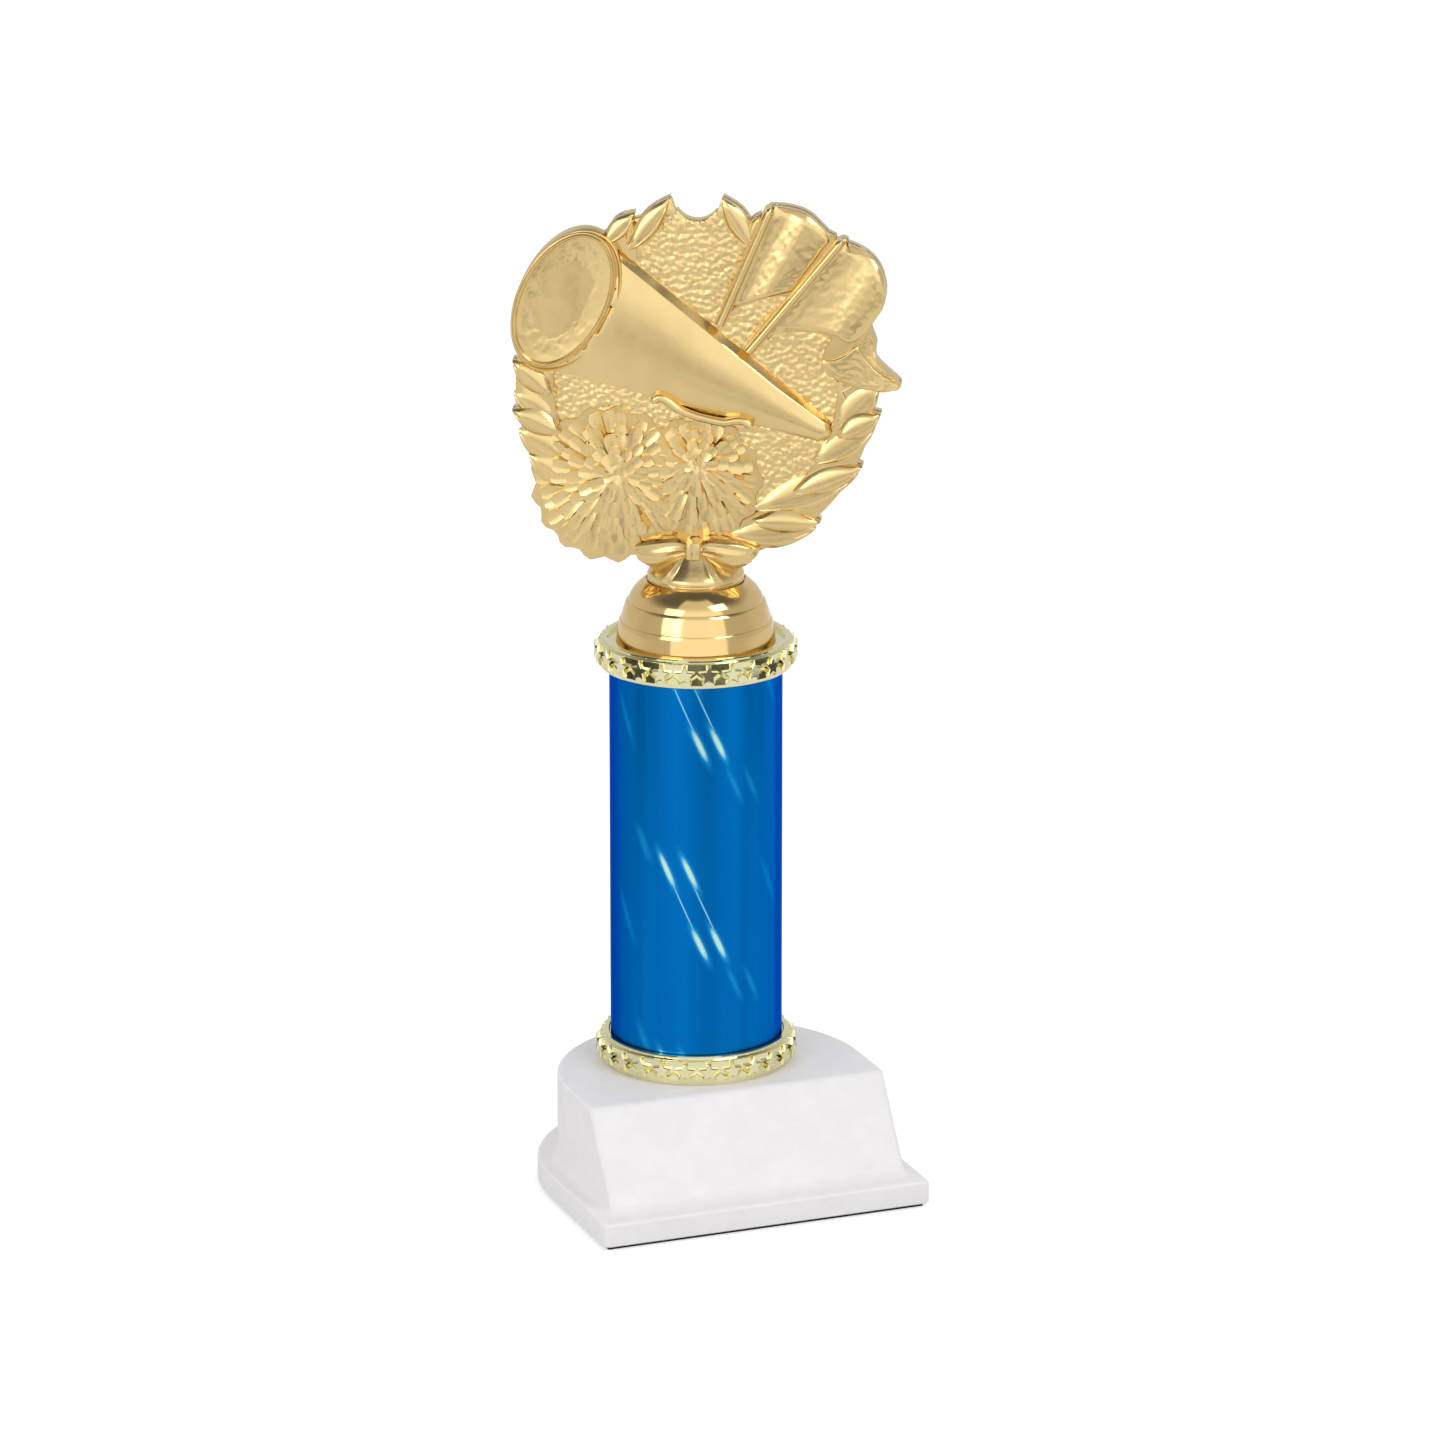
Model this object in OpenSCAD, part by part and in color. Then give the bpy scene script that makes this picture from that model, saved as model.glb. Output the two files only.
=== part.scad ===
// Cheerleading award: a gilt relief figure with a megaphone, pennants and pom-poms, on a tube column
// and a weighted white base, held together by one threaded rod.
// Millimetres, +Z up. The origin is on the rod's axis at the underside of the felt; the front is -Y.

/* [Base] */
// Width of the foot, and the diameter of its round back
foot_w = 89.4; // [74:0.1:108]
// Rod axis to the front edge of the foot
foot_front = 51.1; // [44:0.1:62]
// Rod axis to the centre of the foot's round back
foot_arc_y = 9.5; // [6:0.1:12]
// Height of the foot with its felt
foot_h = 7.2; // [6:0.1:9]
// Width of the plinth above the foot
plinth_w = 81; // [68:0.1:86]
// Rod axis to the foot of the sloping front
plinth_front = 45.6; // [42:0.1:50]
// Rod axis to the top of the sloping front
plinth_top_front = 29.5; // [27:0.1:34]
// Rod axis to the centre of the plinth's round back
plinth_arc_y = 12.6; // [9:0.1:14]
// Height of the whole base
base_h = 30.8; // [26:0.1:37]
// Wall of the moulded base shell
shell_wall = 3; // [2:0.1:4]
// Thickness of the felt
felt_t = 1; // [0.8:0.1:1.5]
// Step in from the foot to the felt
felt_inset = 1.5; // [1:0.1:3]
// Thickness of the bottom board
cover_t = 2; // [1.5:0.1:3]
// Width of the ledge that the bottom board seats on
cover_ledge = 1.6; // [1:0.1:2]
// Height of the cast weight
weight_h = 15; // [9:0.1:16]
// Radius of the boss that the washer bears on
boss_r = 9; // [8:0.1:11]
// Height of the boss face above the surface that the base stands on
boss_z = 14; // [13.5:0.1:16]

/* [Rings] */
// Height of a ring
ring_h = 7.4; // [6.5:0.1:9]
// Radius of a ring's body
ring_r = 24.5; // [24.2:0.1:26]
// Outer radius of the plain rim above the stars
rim_r = 23.9; // [23.6:0.1:24.1]
// Height of the plain rim
rim_h = 0.9; // [0.6:0.1:1.2]
// Depth of the upper recess
ring_top_recess = 1.2; // [1:0.1:1.4]
// Thickness of the web between the two recesses
ring_web = 1.6; // [1.2:0.1:2]
// Number of stars round a ring
stars = 26; // [20:1:28]
// Radius to the points of a star
star_r = 2.7; // [2.2:0.1:2.8]
// How far a star stands out of the ring's body
star_proud = 1.7; // [1:0.1:1.8]

/* [Column] */
// Outside diameter of the covered column
column_d = 44.45; // [38:0.05:44.6]
// Length of the column
column_l = 104.6; // [60:0.1:180]
// Wall of the white core tube
core_wall = 1.6; // [1.2:0.1:2.4]
// Thickness of the film sleeve
wrap_t = 0.3; // [0.2:0.05:0.5]
// Gap left along the sleeve's seam
seam_w = 0.6; // [0.4:0.1:1]
// Direction of the sleeve's seam from the column's axis
seam_angle = 164; // [0:1:360]

/* [Riser] */
// Radius of the riser's skirt
riser_r = 20.5; // [19.5:0.1:21.8]
// Height of the riser
riser_h = 16.1; // [14:0.1:19]
// Radius of the riser's top edge
riser_top_r = 13.2; // [13:0.1:14]
// Step in from one band to the next
riser_step = 0.4; // [0.2:0.1:0.6]
// Wall of the riser
riser_wall = 1.5; // [1.2:0.1:2]
// Depth of the seat for the neck
neck_seat = 0.8; // [0.5:0.1:1]

/* [Figure] */
// Turn of the figure away from the base's front
figure_turn = -26; // [-180:1:180]
// Radius of the wreath
wreath_r = 45.6; // [38:0.1:55]
// Depth of the figure behind the rod's axis
figure_back_d = 4.5; // [4:0.1:6]
// Depth of the parting plane behind the rod's axis
parting_d = 1.5; // [1.2:0.1:2]
// Thickness of the front shell
front_t = 2; // [1.5:0.1:2.4]
// Height of the leaves above the front shell
leaf_rise = 2.5; // [1.8:0.1:3]
// Height of the pennants above the front shell
pennant_rise = 3.3; // [2.5:0.1:4]
// Height of the pennant poles above the front shell
pole_rise = 4.1; // [3:0.1:4.6]
// Width of a pennant pole
pole_w = 2.8; // [2:0.1:3.4]
// Height of the megaphone above the front shell
megaphone_rise = 4.5; // [3.5:0.1:5.5]
// Depth of the megaphone's dished mouth
mouth_depth = 1.4; // [1:0.1:2]
// Height of the megaphone's handle above the front shell
handle_rise = 5; // [4:0.1:6]
// Height of the pom-poms above the front shell
pompom_rise = 4; // [3:0.1:5]
// Height of the bow above the front shell
bow_rise = 8; // [7:0.1:9]
// Radius of the neck
neck_r = 12.4; // [10.5:0.1:12.6]
// Height of the neck's straight part
neck_h = 3.5; // [3.3:0.1:5]
// Height of the shoulder above the straight part
shoulder_h = 7; // [6:0.1:9]
// Radius at the top of the shoulder
shoulder_r = 5; // [4.5:0.1:6]

/* [Fasteners] */
// Diameter of the threaded rod
rod_d = 4.83; // [4:0.01:5]
// Gap round the rod in the pieces it passes through
rod_gap = 0.4; // [0.3:0.05:0.6]
// Gap between the rod and the bore of a nut
thread_gap = 0.05; // [0.02:0.01:0.08]
// Width of a nut across its flats
nut_w = 9.53; // [8:0.01:10]
// Thickness of a nut
nut_h = 3.2; // [2.5:0.1:3.4]
// Outside diameter of the washer
washer_d = 14; // [12:0.1:15]
// Thickness of the washer
washer_t = 1.2; // [1:0.1:1.5]
// Thickness of the split lock washer
lock_t = 1; // [0.8:0.1:1.2]
// Rod left standing out below the lower nut
rod_spare = 2; // [1:0.1:2.2]

/* [Hidden] */
$fn = 96;

eps = 0.01;

// Gaps: at a seat, round the tube, round the boss, round the board, over a captive nut and the rod's end
seat_gap = 0.3;
tube_gap = 0.275;
boss_gap = 0.5;
board_gap = 0.2;
nut_gap = 0.2;
rod_end_gap = 0.5;

// Rod above the captive nut
rod_over_nut = 4;

// Slope of the base's front: its angle from the vertical, and the setback of a plane inside the wall
front_slope = atan((plinth_front - plinth_top_front) / (base_h - foot_h));
function setback(wall) = wall / cos(front_slope);

// Heights of the stack, from the base up
lower_ring_z = base_h;
column_z = lower_ring_z + ring_h - ring_top_recess;
column_top = column_z + column_l;
upper_ring_z = column_top - (ring_h - ring_top_recess - ring_web);
riser_z = upper_ring_z + ring_h - ring_top_recess;
neck_z = riser_z + riser_h - neck_seat;

// Radii that fit each other
column_r = column_d / 2;
core_r = column_r - wrap_t;
ring_bore = max(column_r + tube_gap, riser_r + seat_gap);
rod_r = rod_d / 2;
rod_hole = rod_r + rod_gap;
nut_bore = rod_r + thread_gap;
nut_r = nut_w / 2 / cos(30);

// The lower nut's stack and the rod's two ends
lock_z = boss_z - washer_t - lock_t;
lower_nut_z = lock_z - nut_h;
rod_bottom = lower_nut_z - rod_spare;
nut_ceiling = neck_z + nut_h + nut_gap;
rod_top = nut_ceiling + rod_over_nut;

// Depths in the figure, forward of the rod's axis
ground_d = front_t - parting_d;
band_rise = 1;

// Radii of the wreath and the field that the relief's points are drawn at, and its scale against them
drawn_wreath_r = 45.6;
drawn_field_r = 36;
relief_k = wreath_r / drawn_wreath_r;
field_r = drawn_field_r * relief_k;

// Gap between the neck's foot and the wreath, the height of the shield's centre over the foot, and half
// the angle that the wreath's band is open at the top
wreath_lift = 5.9;
shield_up = wreath_r + wreath_lift;
band_open = 20;

// Closed outline through round points, with k steps from one to the next
function smooth(p, k = 4) = let (n = len(p)) [for (i = [0:n - 1], j = [0:k - 1])
    let (a = p[(i + n - 1) % n], b = p[i], c = p[(i + 1) % n], d = p[(i + 2) % n], t = j / k)
    (2 * b + (c - a) * t + (2 * a - 5 * b + 4 * c - d) * t * t + (3 * b - a - 3 * c + d) * t * t * t) / 2];

// One side of a pointed leaf from root to tip; the two sides make a lens
function leaf_side(root, tip, w, steps = 8) = [for (i = [1:steps - 1])
    let (v = tip - root, s = [-v[1], v[0]] / norm(v), t = i / steps) root + v * t + s * w * sin(180 * t)];
function leaf_points(root, tip, w) =
    concat([root], leaf_side(root, tip, w), [tip], leaf_side(tip, root, w));

// Wavy round outline with a number of lobes
function scallop(r, lobes, depth) = [for (a = [0:5:355]) (r + depth * cos(lobes * a)) * [cos(a), sin(a)]];

// Leaves with a free tip, as [root, tip, half-width], from the shield's centre
LEFT_LEAVES = [[[-16.5, 36], [-6.4, 48.9], 2.6], [[-22.5, 37.5], [-15.2, 44.8], 2.4],
    [[-36.5, -2], [-46.4, 6.2], 3.2], [[-34.5, -12], [-46.6, -6.7], 3.2]];
RIGHT_LEAVES = [[[15, 37], [7, 49.1], 2.6], [[13.5, 40], [16.6, 45], 1.4],
    [[35.5, -11.5], [47.2, -6], 3.2], [[25, -26.5], [42.6, -19.8], 3.2], [[14.5, -34.5], [32, -34.6], 3]];

// Megaphone: centre of the mouth, half-axes of the mouth, axis angle, length and radius of the small end
MOUTH = [-33.1, 22.6];
MOUTH_AXES = [11.6, 19];
mouth_lip = 1.3;
cone_angle = -26.8;
cone_l = 72.5;
cone_end_r = 3.2;
HANDLE = [[-10.4, -3.4], [-9.8, -2], [-8.4, -1.6], [-6.2, -2.6], [-3.6, -4.6], [0, -6], [4, -7],
    [7.6, -7.6], [9.6, -7], [12, -7], [14, -8], [14.8, -9.4], [13.2, -9.2], [11.6, -8.4], [9.8, -8.4],
    [7.8, -9.1], [3.6, -8.4], [-0.6, -7.4], [-4.8, -5.8], [-7, -4.2], [-8.8, -3.6]];

// Pennant poles as [foot, top], and the outlines of the pennants
POLE_LEFT = [[6.3, 16.7], [19.3, 47.1]];
POLE_RIGHT = [[13.6, 9.9], [37.2, 39]];
PENNANT_LEFT = [[8, 18.4], [9.5, 20.3], [15, 22.8], [21, 24.3], [24, 24.6], [30, 31], [35.6, 38.4],
    [33.6, 40.4], [31.5, 42.6], [29.5, 44.5], [27, 45.9], [24, 46.7], [20.5, 47], [18.6, 45.4], [13, 31]];
PENNANT_RIGHT = [[19.5, 14.9], [28, 26], [37.4, 37.8], [38.7, 37.7], [41.5, 36.6], [44.5, 34.6], [47, 31.2],
    [48.3, 26], [47.5, 21.5], [45.3, 18], [44.6, 16], [45.9, 12], [45.8, 8.2], [49.5, 4.4], [52.1, 2],
    [51.6, 0.5], [50, 0.1], [46.7, -0.3], [39, 1.2], [36, 2.7], [33.5, 4.3], [32, 6.8], [33, 10.7],
    [34.6, 13.8], [30, 15], [24, 15]];

// Pom-poms as [centre, radius, lobes], and the bow's outline
POMPOM_LEFT = [[-21.5, -26], 20, 17];
POMPOM_RIGHT = [[0.5, -24.5], 16.2, 13];
lobe_depth = 0.8;
BOW = [[0, -39.4], [5, -37.8], [10.8, -38.6], [16.4, -41], [15.6, -44.4], [12.6, -46.6], [10, -47],
    [5, -44.2], [0.2, -43.4], [-5, -44.2], [-10.6, -47.2], [-13.6, -46.2], [-14.4, -43], [-9.4, -40.4],
    [-4, -38.2]];
NOTCH = [0.3, 48.6];
notch_r = 5.8;

// Pegs that join the front and back shells, round the field
PEGS = [20, 160, 228, 312];
peg_r = 1.5;
peg_h = 0.9;
peg_gap = 0.1;

module ring_of(outer, inner, height) {
    difference() {
        cylinder(h = height, r = outer);
        translate([0, 0, -eps]) cylinder(h = height + 2 * eps, r = inner);
    }
}

// Plan with a straight front and a round back
module round_back(half_w, front, arc_y) {
    translate([-half_w, -front]) square([2 * half_w, front - arc_y]);
    translate([0, -arc_y]) difference() {
        circle(r = half_w, $fn = 180);
        translate([-foot_w, -2 * foot_w]) square(2 * foot_w);
    }
}

// Everything behind a plane laid inside the sloping front
module behind_slope(inset) {
    translate([0, -plinth_front + setback(inset), foot_h])
        rotate([-front_slope, 0, 0])
            translate([-foot_w, 0, -foot_h * 4]) cube([foot_w * 2, foot_w * 2, base_h * 6]);
}

module plinth(inset, low, high) {
    intersection() {
        translate([0, 0, low]) linear_extrude(high - low)
            round_back(plinth_w / 2 - inset, plinth_front - inset, plinth_arc_y);
        behind_slope(inset);
    }
}

module cover_plan(inset) {
    round_back(plinth_w / 2 - shell_wall + cover_ledge - inset,
        plinth_front - shell_wall + cover_ledge - inset, plinth_arc_y);
}

module base_shell() {
    color("whitesmoke") difference() {
        union() {
            translate([0, 0, felt_t]) linear_extrude(foot_h - felt_t)
                round_back(foot_w / 2, foot_front, foot_arc_y);
            plinth(0, foot_h - shell_wall, base_h);
        }
        difference() {
            plinth(shell_wall, felt_t - eps, base_h - shell_wall);
            translate([0, 0, boss_z]) cylinder(h = base_h, r = boss_r);
        }
        translate([0, 0, felt_t - eps]) linear_extrude(cover_t + eps) cover_plan(0);
        translate([0, 0, boss_z - eps]) cylinder(h = base_h, r = rod_hole);
    }
}

module base_weight() {
    color("dimgray") difference() {
        plinth(shell_wall + boss_gap, felt_t + cover_t, felt_t + cover_t + weight_h);
        cylinder(h = base_h, r = boss_r + boss_gap);
    }
}

module base_cover() {
    color("saddlebrown") translate([0, 0, felt_t]) difference() {
        linear_extrude(cover_t) cover_plan(board_gap);
        translate([0, 0, -eps]) cylinder(h = cover_t + 2 * eps, r = boss_r + boss_gap);
    }
}

module felt_pad() {
    color("black") linear_extrude(felt_t)
        round_back(foot_w / 2 - felt_inset, foot_front - felt_inset, foot_arc_y);
}

// Five-pointed star, one point up; its inner corners stand at a fixed part of its radius
star_waist = 0.46;
star_root = 1;
module star(r) {
    polygon([for (i = [0:9]) r * (i % 2 == 0 ? 1 : star_waist) * [sin(36 * i), cos(36 * i)]]);
}

// Ring with a recess above and below its web, and a row of stars round it
module star_ring() {
    lower = ring_h - ring_top_recess - ring_web;
    difference() {
        union() {
            cylinder(h = ring_h, r = rim_r);
            cylinder(h = ring_h - rim_h, r = ring_r);
            for (i = [0:stars - 1])
                rotate([0, 0, i * 360 / stars]) translate([0, -ring_r + star_root, ring_h / 2])
                    rotate([90, 0, 0]) linear_extrude(star_proud + star_root) star(star_r);
        }
        translate([0, 0, -eps]) cylinder(h = lower + eps, r = ring_bore);
        translate([0, 0, ring_h - ring_top_recess]) cylinder(h = ring_h, r = ring_bore);
        translate([0, 0, -eps]) cylinder(h = ring_h, r = rod_hole);
    }
}

module lower_ring() {
    color("palegoldenrod") translate([0, 0, lower_ring_z]) star_ring();
}

module upper_ring() {
    color("palegoldenrod") translate([0, 0, upper_ring_z]) star_ring();
}

module column_core() {
    color("white") translate([0, 0, column_z]) ring_of(core_r, core_r - core_wall, column_l);
}

module column_wrap() {
    color("dodgerblue") translate([0, 0, column_z]) difference() {
        ring_of(column_r, core_r, column_l);
        rotate([0, 0, seam_angle]) translate([0, -seam_w / 2, -eps])
            cube([column_d, seam_w, column_l + 2 * eps]);
    }
}

// Half-section of the riser from its foot to its top: three bands, each stepped in from the one below
band_z = [0, 5.8, 10.8, riser_h];
band_r = [riser_r, riser_r - 0.9, riser_r - 2.8, riser_top_r];
band_lift = [0, 0.3, 0.75];
function band_points(i) = [for (t = [0:0.25:1])
    let (r0 = band_r[i] - (i > 0 ? riser_step : 0), z = band_z[i] + t * (band_z[i + 1] - band_z[i]))
    [r0 + (band_r[i + 1] - r0) * (t - band_lift[i] * t * (1 - t)), z]];

module riser() {
    color("goldenrod") translate([0, 0, riser_z]) difference() {
        rotate_extrude() polygon(concat([[0, 0]], band_points(0), band_points(1), band_points(2),
            [[0, riser_h]]));
        translate([0, 0, -eps]) cylinder(h = band_z[1], r = band_r[1] - riser_step - riser_wall);
        translate([0, 0, band_z[1] - 2 * eps])
            cylinder(h = riser_h - band_z[1] - neck_seat - riser_wall, r = riser_top_r - riser_wall);
        translate([0, 0, riser_h - neck_seat]) cylinder(h = riser_h, r = neck_r + seat_gap);
        cylinder(h = riser_h, r = rod_hole);
    }
}

// Frame of the relief: x across it, y up it, z forward out of it, all from the shield's centre
module in_figure(depth = 0) {
    translate([0, 0, neck_z + shield_up]) rotate([0, 0, figure_turn]) rotate([90, 0, 0])
        translate([0, 0, depth]) children();
}

module strip(a, b, w) {
    v = b - a;
    translate(a) rotate(atan2(v[1], v[0])) translate([0, -w / 2]) square([norm(v), w]);
    translate(b) circle(r = w / 2, $fn = 24);
}

module leaves(list) {
    for (l = list) polygon(leaf_points(l[0], l[1], l[2]) * relief_k);
}

module mouth_2d(inset) {
    translate(MOUTH * relief_k) rotate(cone_angle)
        polygon(relief_k * [for (a = [0:6:354])
            [(MOUTH_AXES[0] - inset) * cos(a), (MOUTH_AXES[1] - inset) * sin(a)]]);
}

module megaphone_2d() {
    difference() {
        translate(MOUTH * relief_k) rotate(cone_angle) polygon(relief_k * concat(
            [for (a = [90:6:270]) [MOUTH_AXES[0] * cos(a), MOUTH_AXES[1] * sin(a)]],
            [for (a = [-90:10:90]) [cone_l + cone_end_r * cos(a), cone_end_r * sin(a)]]));
        handle_2d();
    }
}

module handle_2d() {
    polygon(smooth(HANDLE, 3) * relief_k);
}

module pole_2d(ends) {
    strip(ends[0] * relief_k, ends[1] * relief_k - [0, pole_w / 2], pole_w);
}

module pennant_left_2d() {
    polygon(smooth(PENNANT_LEFT, 3) * relief_k);
}

module pennant_right_2d() {
    polygon(smooth(PENNANT_RIGHT, 3) * relief_k);
}

module pompom_2d(pom) {
    translate(pom[0] * relief_k) polygon(scallop(pom[1], pom[2], lobe_depth) * relief_k);
}

module bow_2d() {
    polygon(smooth(BOW, 3) * relief_k);
}

// All that stands on the front shell and lies over the wreath
module over_wreath_2d() {
    megaphone_2d();
    handle_2d();
    pole_2d(POLE_LEFT);
    pole_2d(POLE_RIGHT);
    pennant_left_2d();
    pennant_right_2d();
    pompom_2d(POMPOM_LEFT);
    pompom_2d(POMPOM_RIGHT);
    bow_2d();
}

module notch_2d() {
    translate(NOTCH * relief_k) circle(r = notch_r * relief_k);
}

module figure_2d() {
    difference() {
        union() {
            circle(r = wreath_r, $fn = 180);
            leaves(LEFT_LEAVES);
            leaves(RIGHT_LEAVES);
            over_wreath_2d();
        }
        notch_2d();
    }
}

// Half of the band that the leaves grow from, on the side of positive or negative x, open at the top
module band_2d(side) {
    difference() {
        circle(r = wreath_r, $fn = 180);
        circle(r = field_r, $fn = 180);
        polygon(2 * wreath_r * [[0, 0], [sin(band_open), cos(band_open)],
            [-sin(band_open), cos(band_open)]]);
        translate([side > 0 ? -2 * wreath_r : 0, -2 * wreath_r]) square([2 * wreath_r, 4 * wreath_r]);
    }
}

module wreath_band(side) {
    in_figure(ground_d) linear_extrude(band_rise) band_2d(side);
}

module neck_solid() {
    translate([0, 0, neck_z]) cylinder(h = neck_h, r = neck_r);
    translate([0, 0, neck_z + neck_h]) cylinder(h = shoulder_h, r1 = neck_r, r2 = shoulder_r);
}

module pegs(radius, height) {
    for (a = PEGS) rotate(a) translate([(wreath_r + field_r) / 2, 0]) cylinder(h = height, r = radius);
}

module figure_back() {
    color("gold") difference() {
        union() {
            in_figure(-figure_back_d) linear_extrude(figure_back_d - parting_d) figure_2d();
            neck_solid();
        }
        in_figure(-(figure_back_d + parting_d) / 2) cylinder(h = figure_back_d, r = field_r, $fn = 180);
        in_figure(-parting_d - 1) pegs(peg_r + peg_gap, figure_back_d);
        translate([0, 0, neck_z - eps]) rotate([0, 0, figure_turn])
            cylinder(h = nut_ceiling - neck_z + eps, r = nut_r + thread_gap, $fn = 6);
        translate([0, 0, neck_z - eps]) cylinder(h = rod_top - neck_z + rod_end_gap, r = rod_hole);
    }
}

module figure_front() {
    color("gold") difference() {
        in_figure(-parting_d) linear_extrude(front_t) figure_2d();
        neck_solid();
    }
    color("gold") in_figure(-parting_d - peg_h) pegs(peg_r, peg_h);
}

// A motif cut to seat on the front shell, the band of the wreath and the shoulder of the neck
module seated(rise) {
    difference() {
        in_figure(ground_d) linear_extrude(rise) difference() {
            children();
            notch_2d();
        }
        wreath_band(-1);
        wreath_band(1);
        neck_solid();
    }
}

module wreath(side, list) {
    difference() {
        union() {
            wreath_band(side);
            in_figure(ground_d) linear_extrude(leaf_rise) difference() {
                union() {
                    band_2d(side);
                    leaves(list);
                }
                over_wreath_2d();
                notch_2d();
            }
        }
        neck_solid();
    }
}

module wreath_left() {
    color("goldenrod") wreath(-1, LEFT_LEAVES);
}

module wreath_right() {
    color("goldenrod") wreath(1, RIGHT_LEAVES);
}

module megaphone() {
    color("gold") difference() {
        seated(megaphone_rise) megaphone_2d();
        in_figure(ground_d + megaphone_rise - mouth_depth)
            linear_extrude(megaphone_rise) mouth_2d(mouth_lip);
    }
}

module megaphone_handle() {
    color("gold") seated(handle_rise) handle_2d();
}

module pole_left() {
    color("gold") seated(pole_rise) difference() {
        pole_2d(POLE_LEFT);
        megaphone_2d();
    }
}

module pole_right() {
    color("gold") seated(pole_rise) difference() {
        pole_2d(POLE_RIGHT);
        megaphone_2d();
    }
}

module pennant_left() {
    color("gold") seated(pennant_rise) difference() {
        pennant_left_2d();
        pole_2d(POLE_LEFT);
        pole_2d(POLE_RIGHT);
        pennant_right_2d();
        megaphone_2d();
    }
}

module pennant_right() {
    color("gold") seated(pennant_rise) difference() {
        pennant_right_2d();
        pole_2d(POLE_RIGHT);
        megaphone_2d();
    }
}

module pompom_left() {
    color("gold") seated(pompom_rise) difference() {
        pompom_2d(POMPOM_LEFT);
        megaphone_2d();
        handle_2d();
        bow_2d();
    }
}

module pompom_right() {
    color("gold") seated(pompom_rise) difference() {
        pompom_2d(POMPOM_RIGHT);
        pompom_2d(POMPOM_LEFT);
        megaphone_2d();
        handle_2d();
        bow_2d();
    }
}

module bow() {
    color("gold") seated(bow_rise) bow_2d();
}

module hex_nut() {
    difference() {
        cylinder(h = nut_h, r = nut_r, $fn = 6);
        translate([0, 0, -eps]) cylinder(h = nut_h + 2 * eps, r = nut_bore);
    }
}

module figure_nut() {
    color("silver") translate([0, 0, nut_ceiling - nut_h]) rotate([0, 0, figure_turn]) hex_nut();
}

module check_rod() {
    color("silver") translate([0, 0, rod_bottom]) cylinder(h = rod_top - rod_bottom, r = rod_r);
}

module washer() {
    color("silver") translate([0, 0, boss_z - washer_t]) ring_of(washer_d / 2, rod_hole, washer_t);
}

// Split ring: the cut is as wide as the washer is thick
module lock_washer() {
    color("silver") translate([0, 0, lock_z]) difference() {
        ring_of(nut_w / 2, rod_hole, lock_t);
        translate([0, -lock_t / 2, -eps]) cube([nut_w, lock_t, lock_t + 2 * eps]);
    }
}

module lower_nut() {
    color("silver") translate([0, 0, lower_nut_z]) hex_nut();
}

base_shell();
base_weight();
base_cover();
felt_pad();
lower_ring();
column_core();
column_wrap();
upper_ring();
riser();
figure_back();
figure_front();
wreath_left();
wreath_right();
megaphone();
megaphone_handle();
pole_left();
pole_right();
pennant_left();
pennant_right();
pompom_left();
pompom_right();
bow();
figure_nut();
check_rod();
washer();
lock_washer();
lower_nut();
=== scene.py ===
"""Cheerleading award: a gilt relief figure on a stepped riser, a film-covered column between two star
rings, and a white base. Every piece has an operator that models it in millimetres and sets it in place
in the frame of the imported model."""

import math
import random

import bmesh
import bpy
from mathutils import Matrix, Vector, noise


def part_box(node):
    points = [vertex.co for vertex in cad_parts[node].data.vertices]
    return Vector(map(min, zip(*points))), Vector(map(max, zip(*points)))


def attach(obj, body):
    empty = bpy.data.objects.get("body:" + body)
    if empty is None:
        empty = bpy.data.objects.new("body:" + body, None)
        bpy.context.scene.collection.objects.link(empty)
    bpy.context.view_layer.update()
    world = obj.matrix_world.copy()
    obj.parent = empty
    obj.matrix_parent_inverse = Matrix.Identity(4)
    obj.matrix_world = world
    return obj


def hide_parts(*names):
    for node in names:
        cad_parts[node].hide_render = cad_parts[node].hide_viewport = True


bl_info = {
    "name": "Cheerleading Award",
    "version": (1, 0, 0),
    "blender": (4, 5, 0),
    "location": "View3D > Sidebar > Award",
    "description": "Models a cheerleading award round its fixed frame",
    "category": "Object",
}

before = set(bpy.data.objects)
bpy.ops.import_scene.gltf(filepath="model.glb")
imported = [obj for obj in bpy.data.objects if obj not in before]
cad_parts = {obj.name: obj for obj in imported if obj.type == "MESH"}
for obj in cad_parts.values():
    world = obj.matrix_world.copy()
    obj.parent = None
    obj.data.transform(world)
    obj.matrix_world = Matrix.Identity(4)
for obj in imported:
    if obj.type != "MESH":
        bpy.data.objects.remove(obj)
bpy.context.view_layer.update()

MM = 0.001
QUARTER = math.pi / 2
TURN = 2 * math.pi

# Places that come from the frame, in millimetres
BASE_LOW, BASE_HIGH = (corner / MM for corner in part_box("base_shell"))
LOWER_RING_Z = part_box("lower_ring")[0].z / MM
UPPER_RING_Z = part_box("upper_ring")[0].z / MM
RISER_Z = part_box("riser")[0].z / MM
NECK_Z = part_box("figure_back")[0].z / MM
COLUMN_LOW, COLUMN_HIGH = (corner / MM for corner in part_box("column_wrap"))


# ---------------------------------------------------------------- settings

def length(name, description, default):
    return bpy.props.FloatProperty(name=name, description=description, default=default, min=0,
                                   subtype="DISTANCE", unit="LENGTH", precision=5)


def colour(name, description, default):
    return bpy.props.FloatVectorProperty(name=name, description=description, default=default, size=3,
                                         min=0, max=1, subtype="COLOR")


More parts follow.
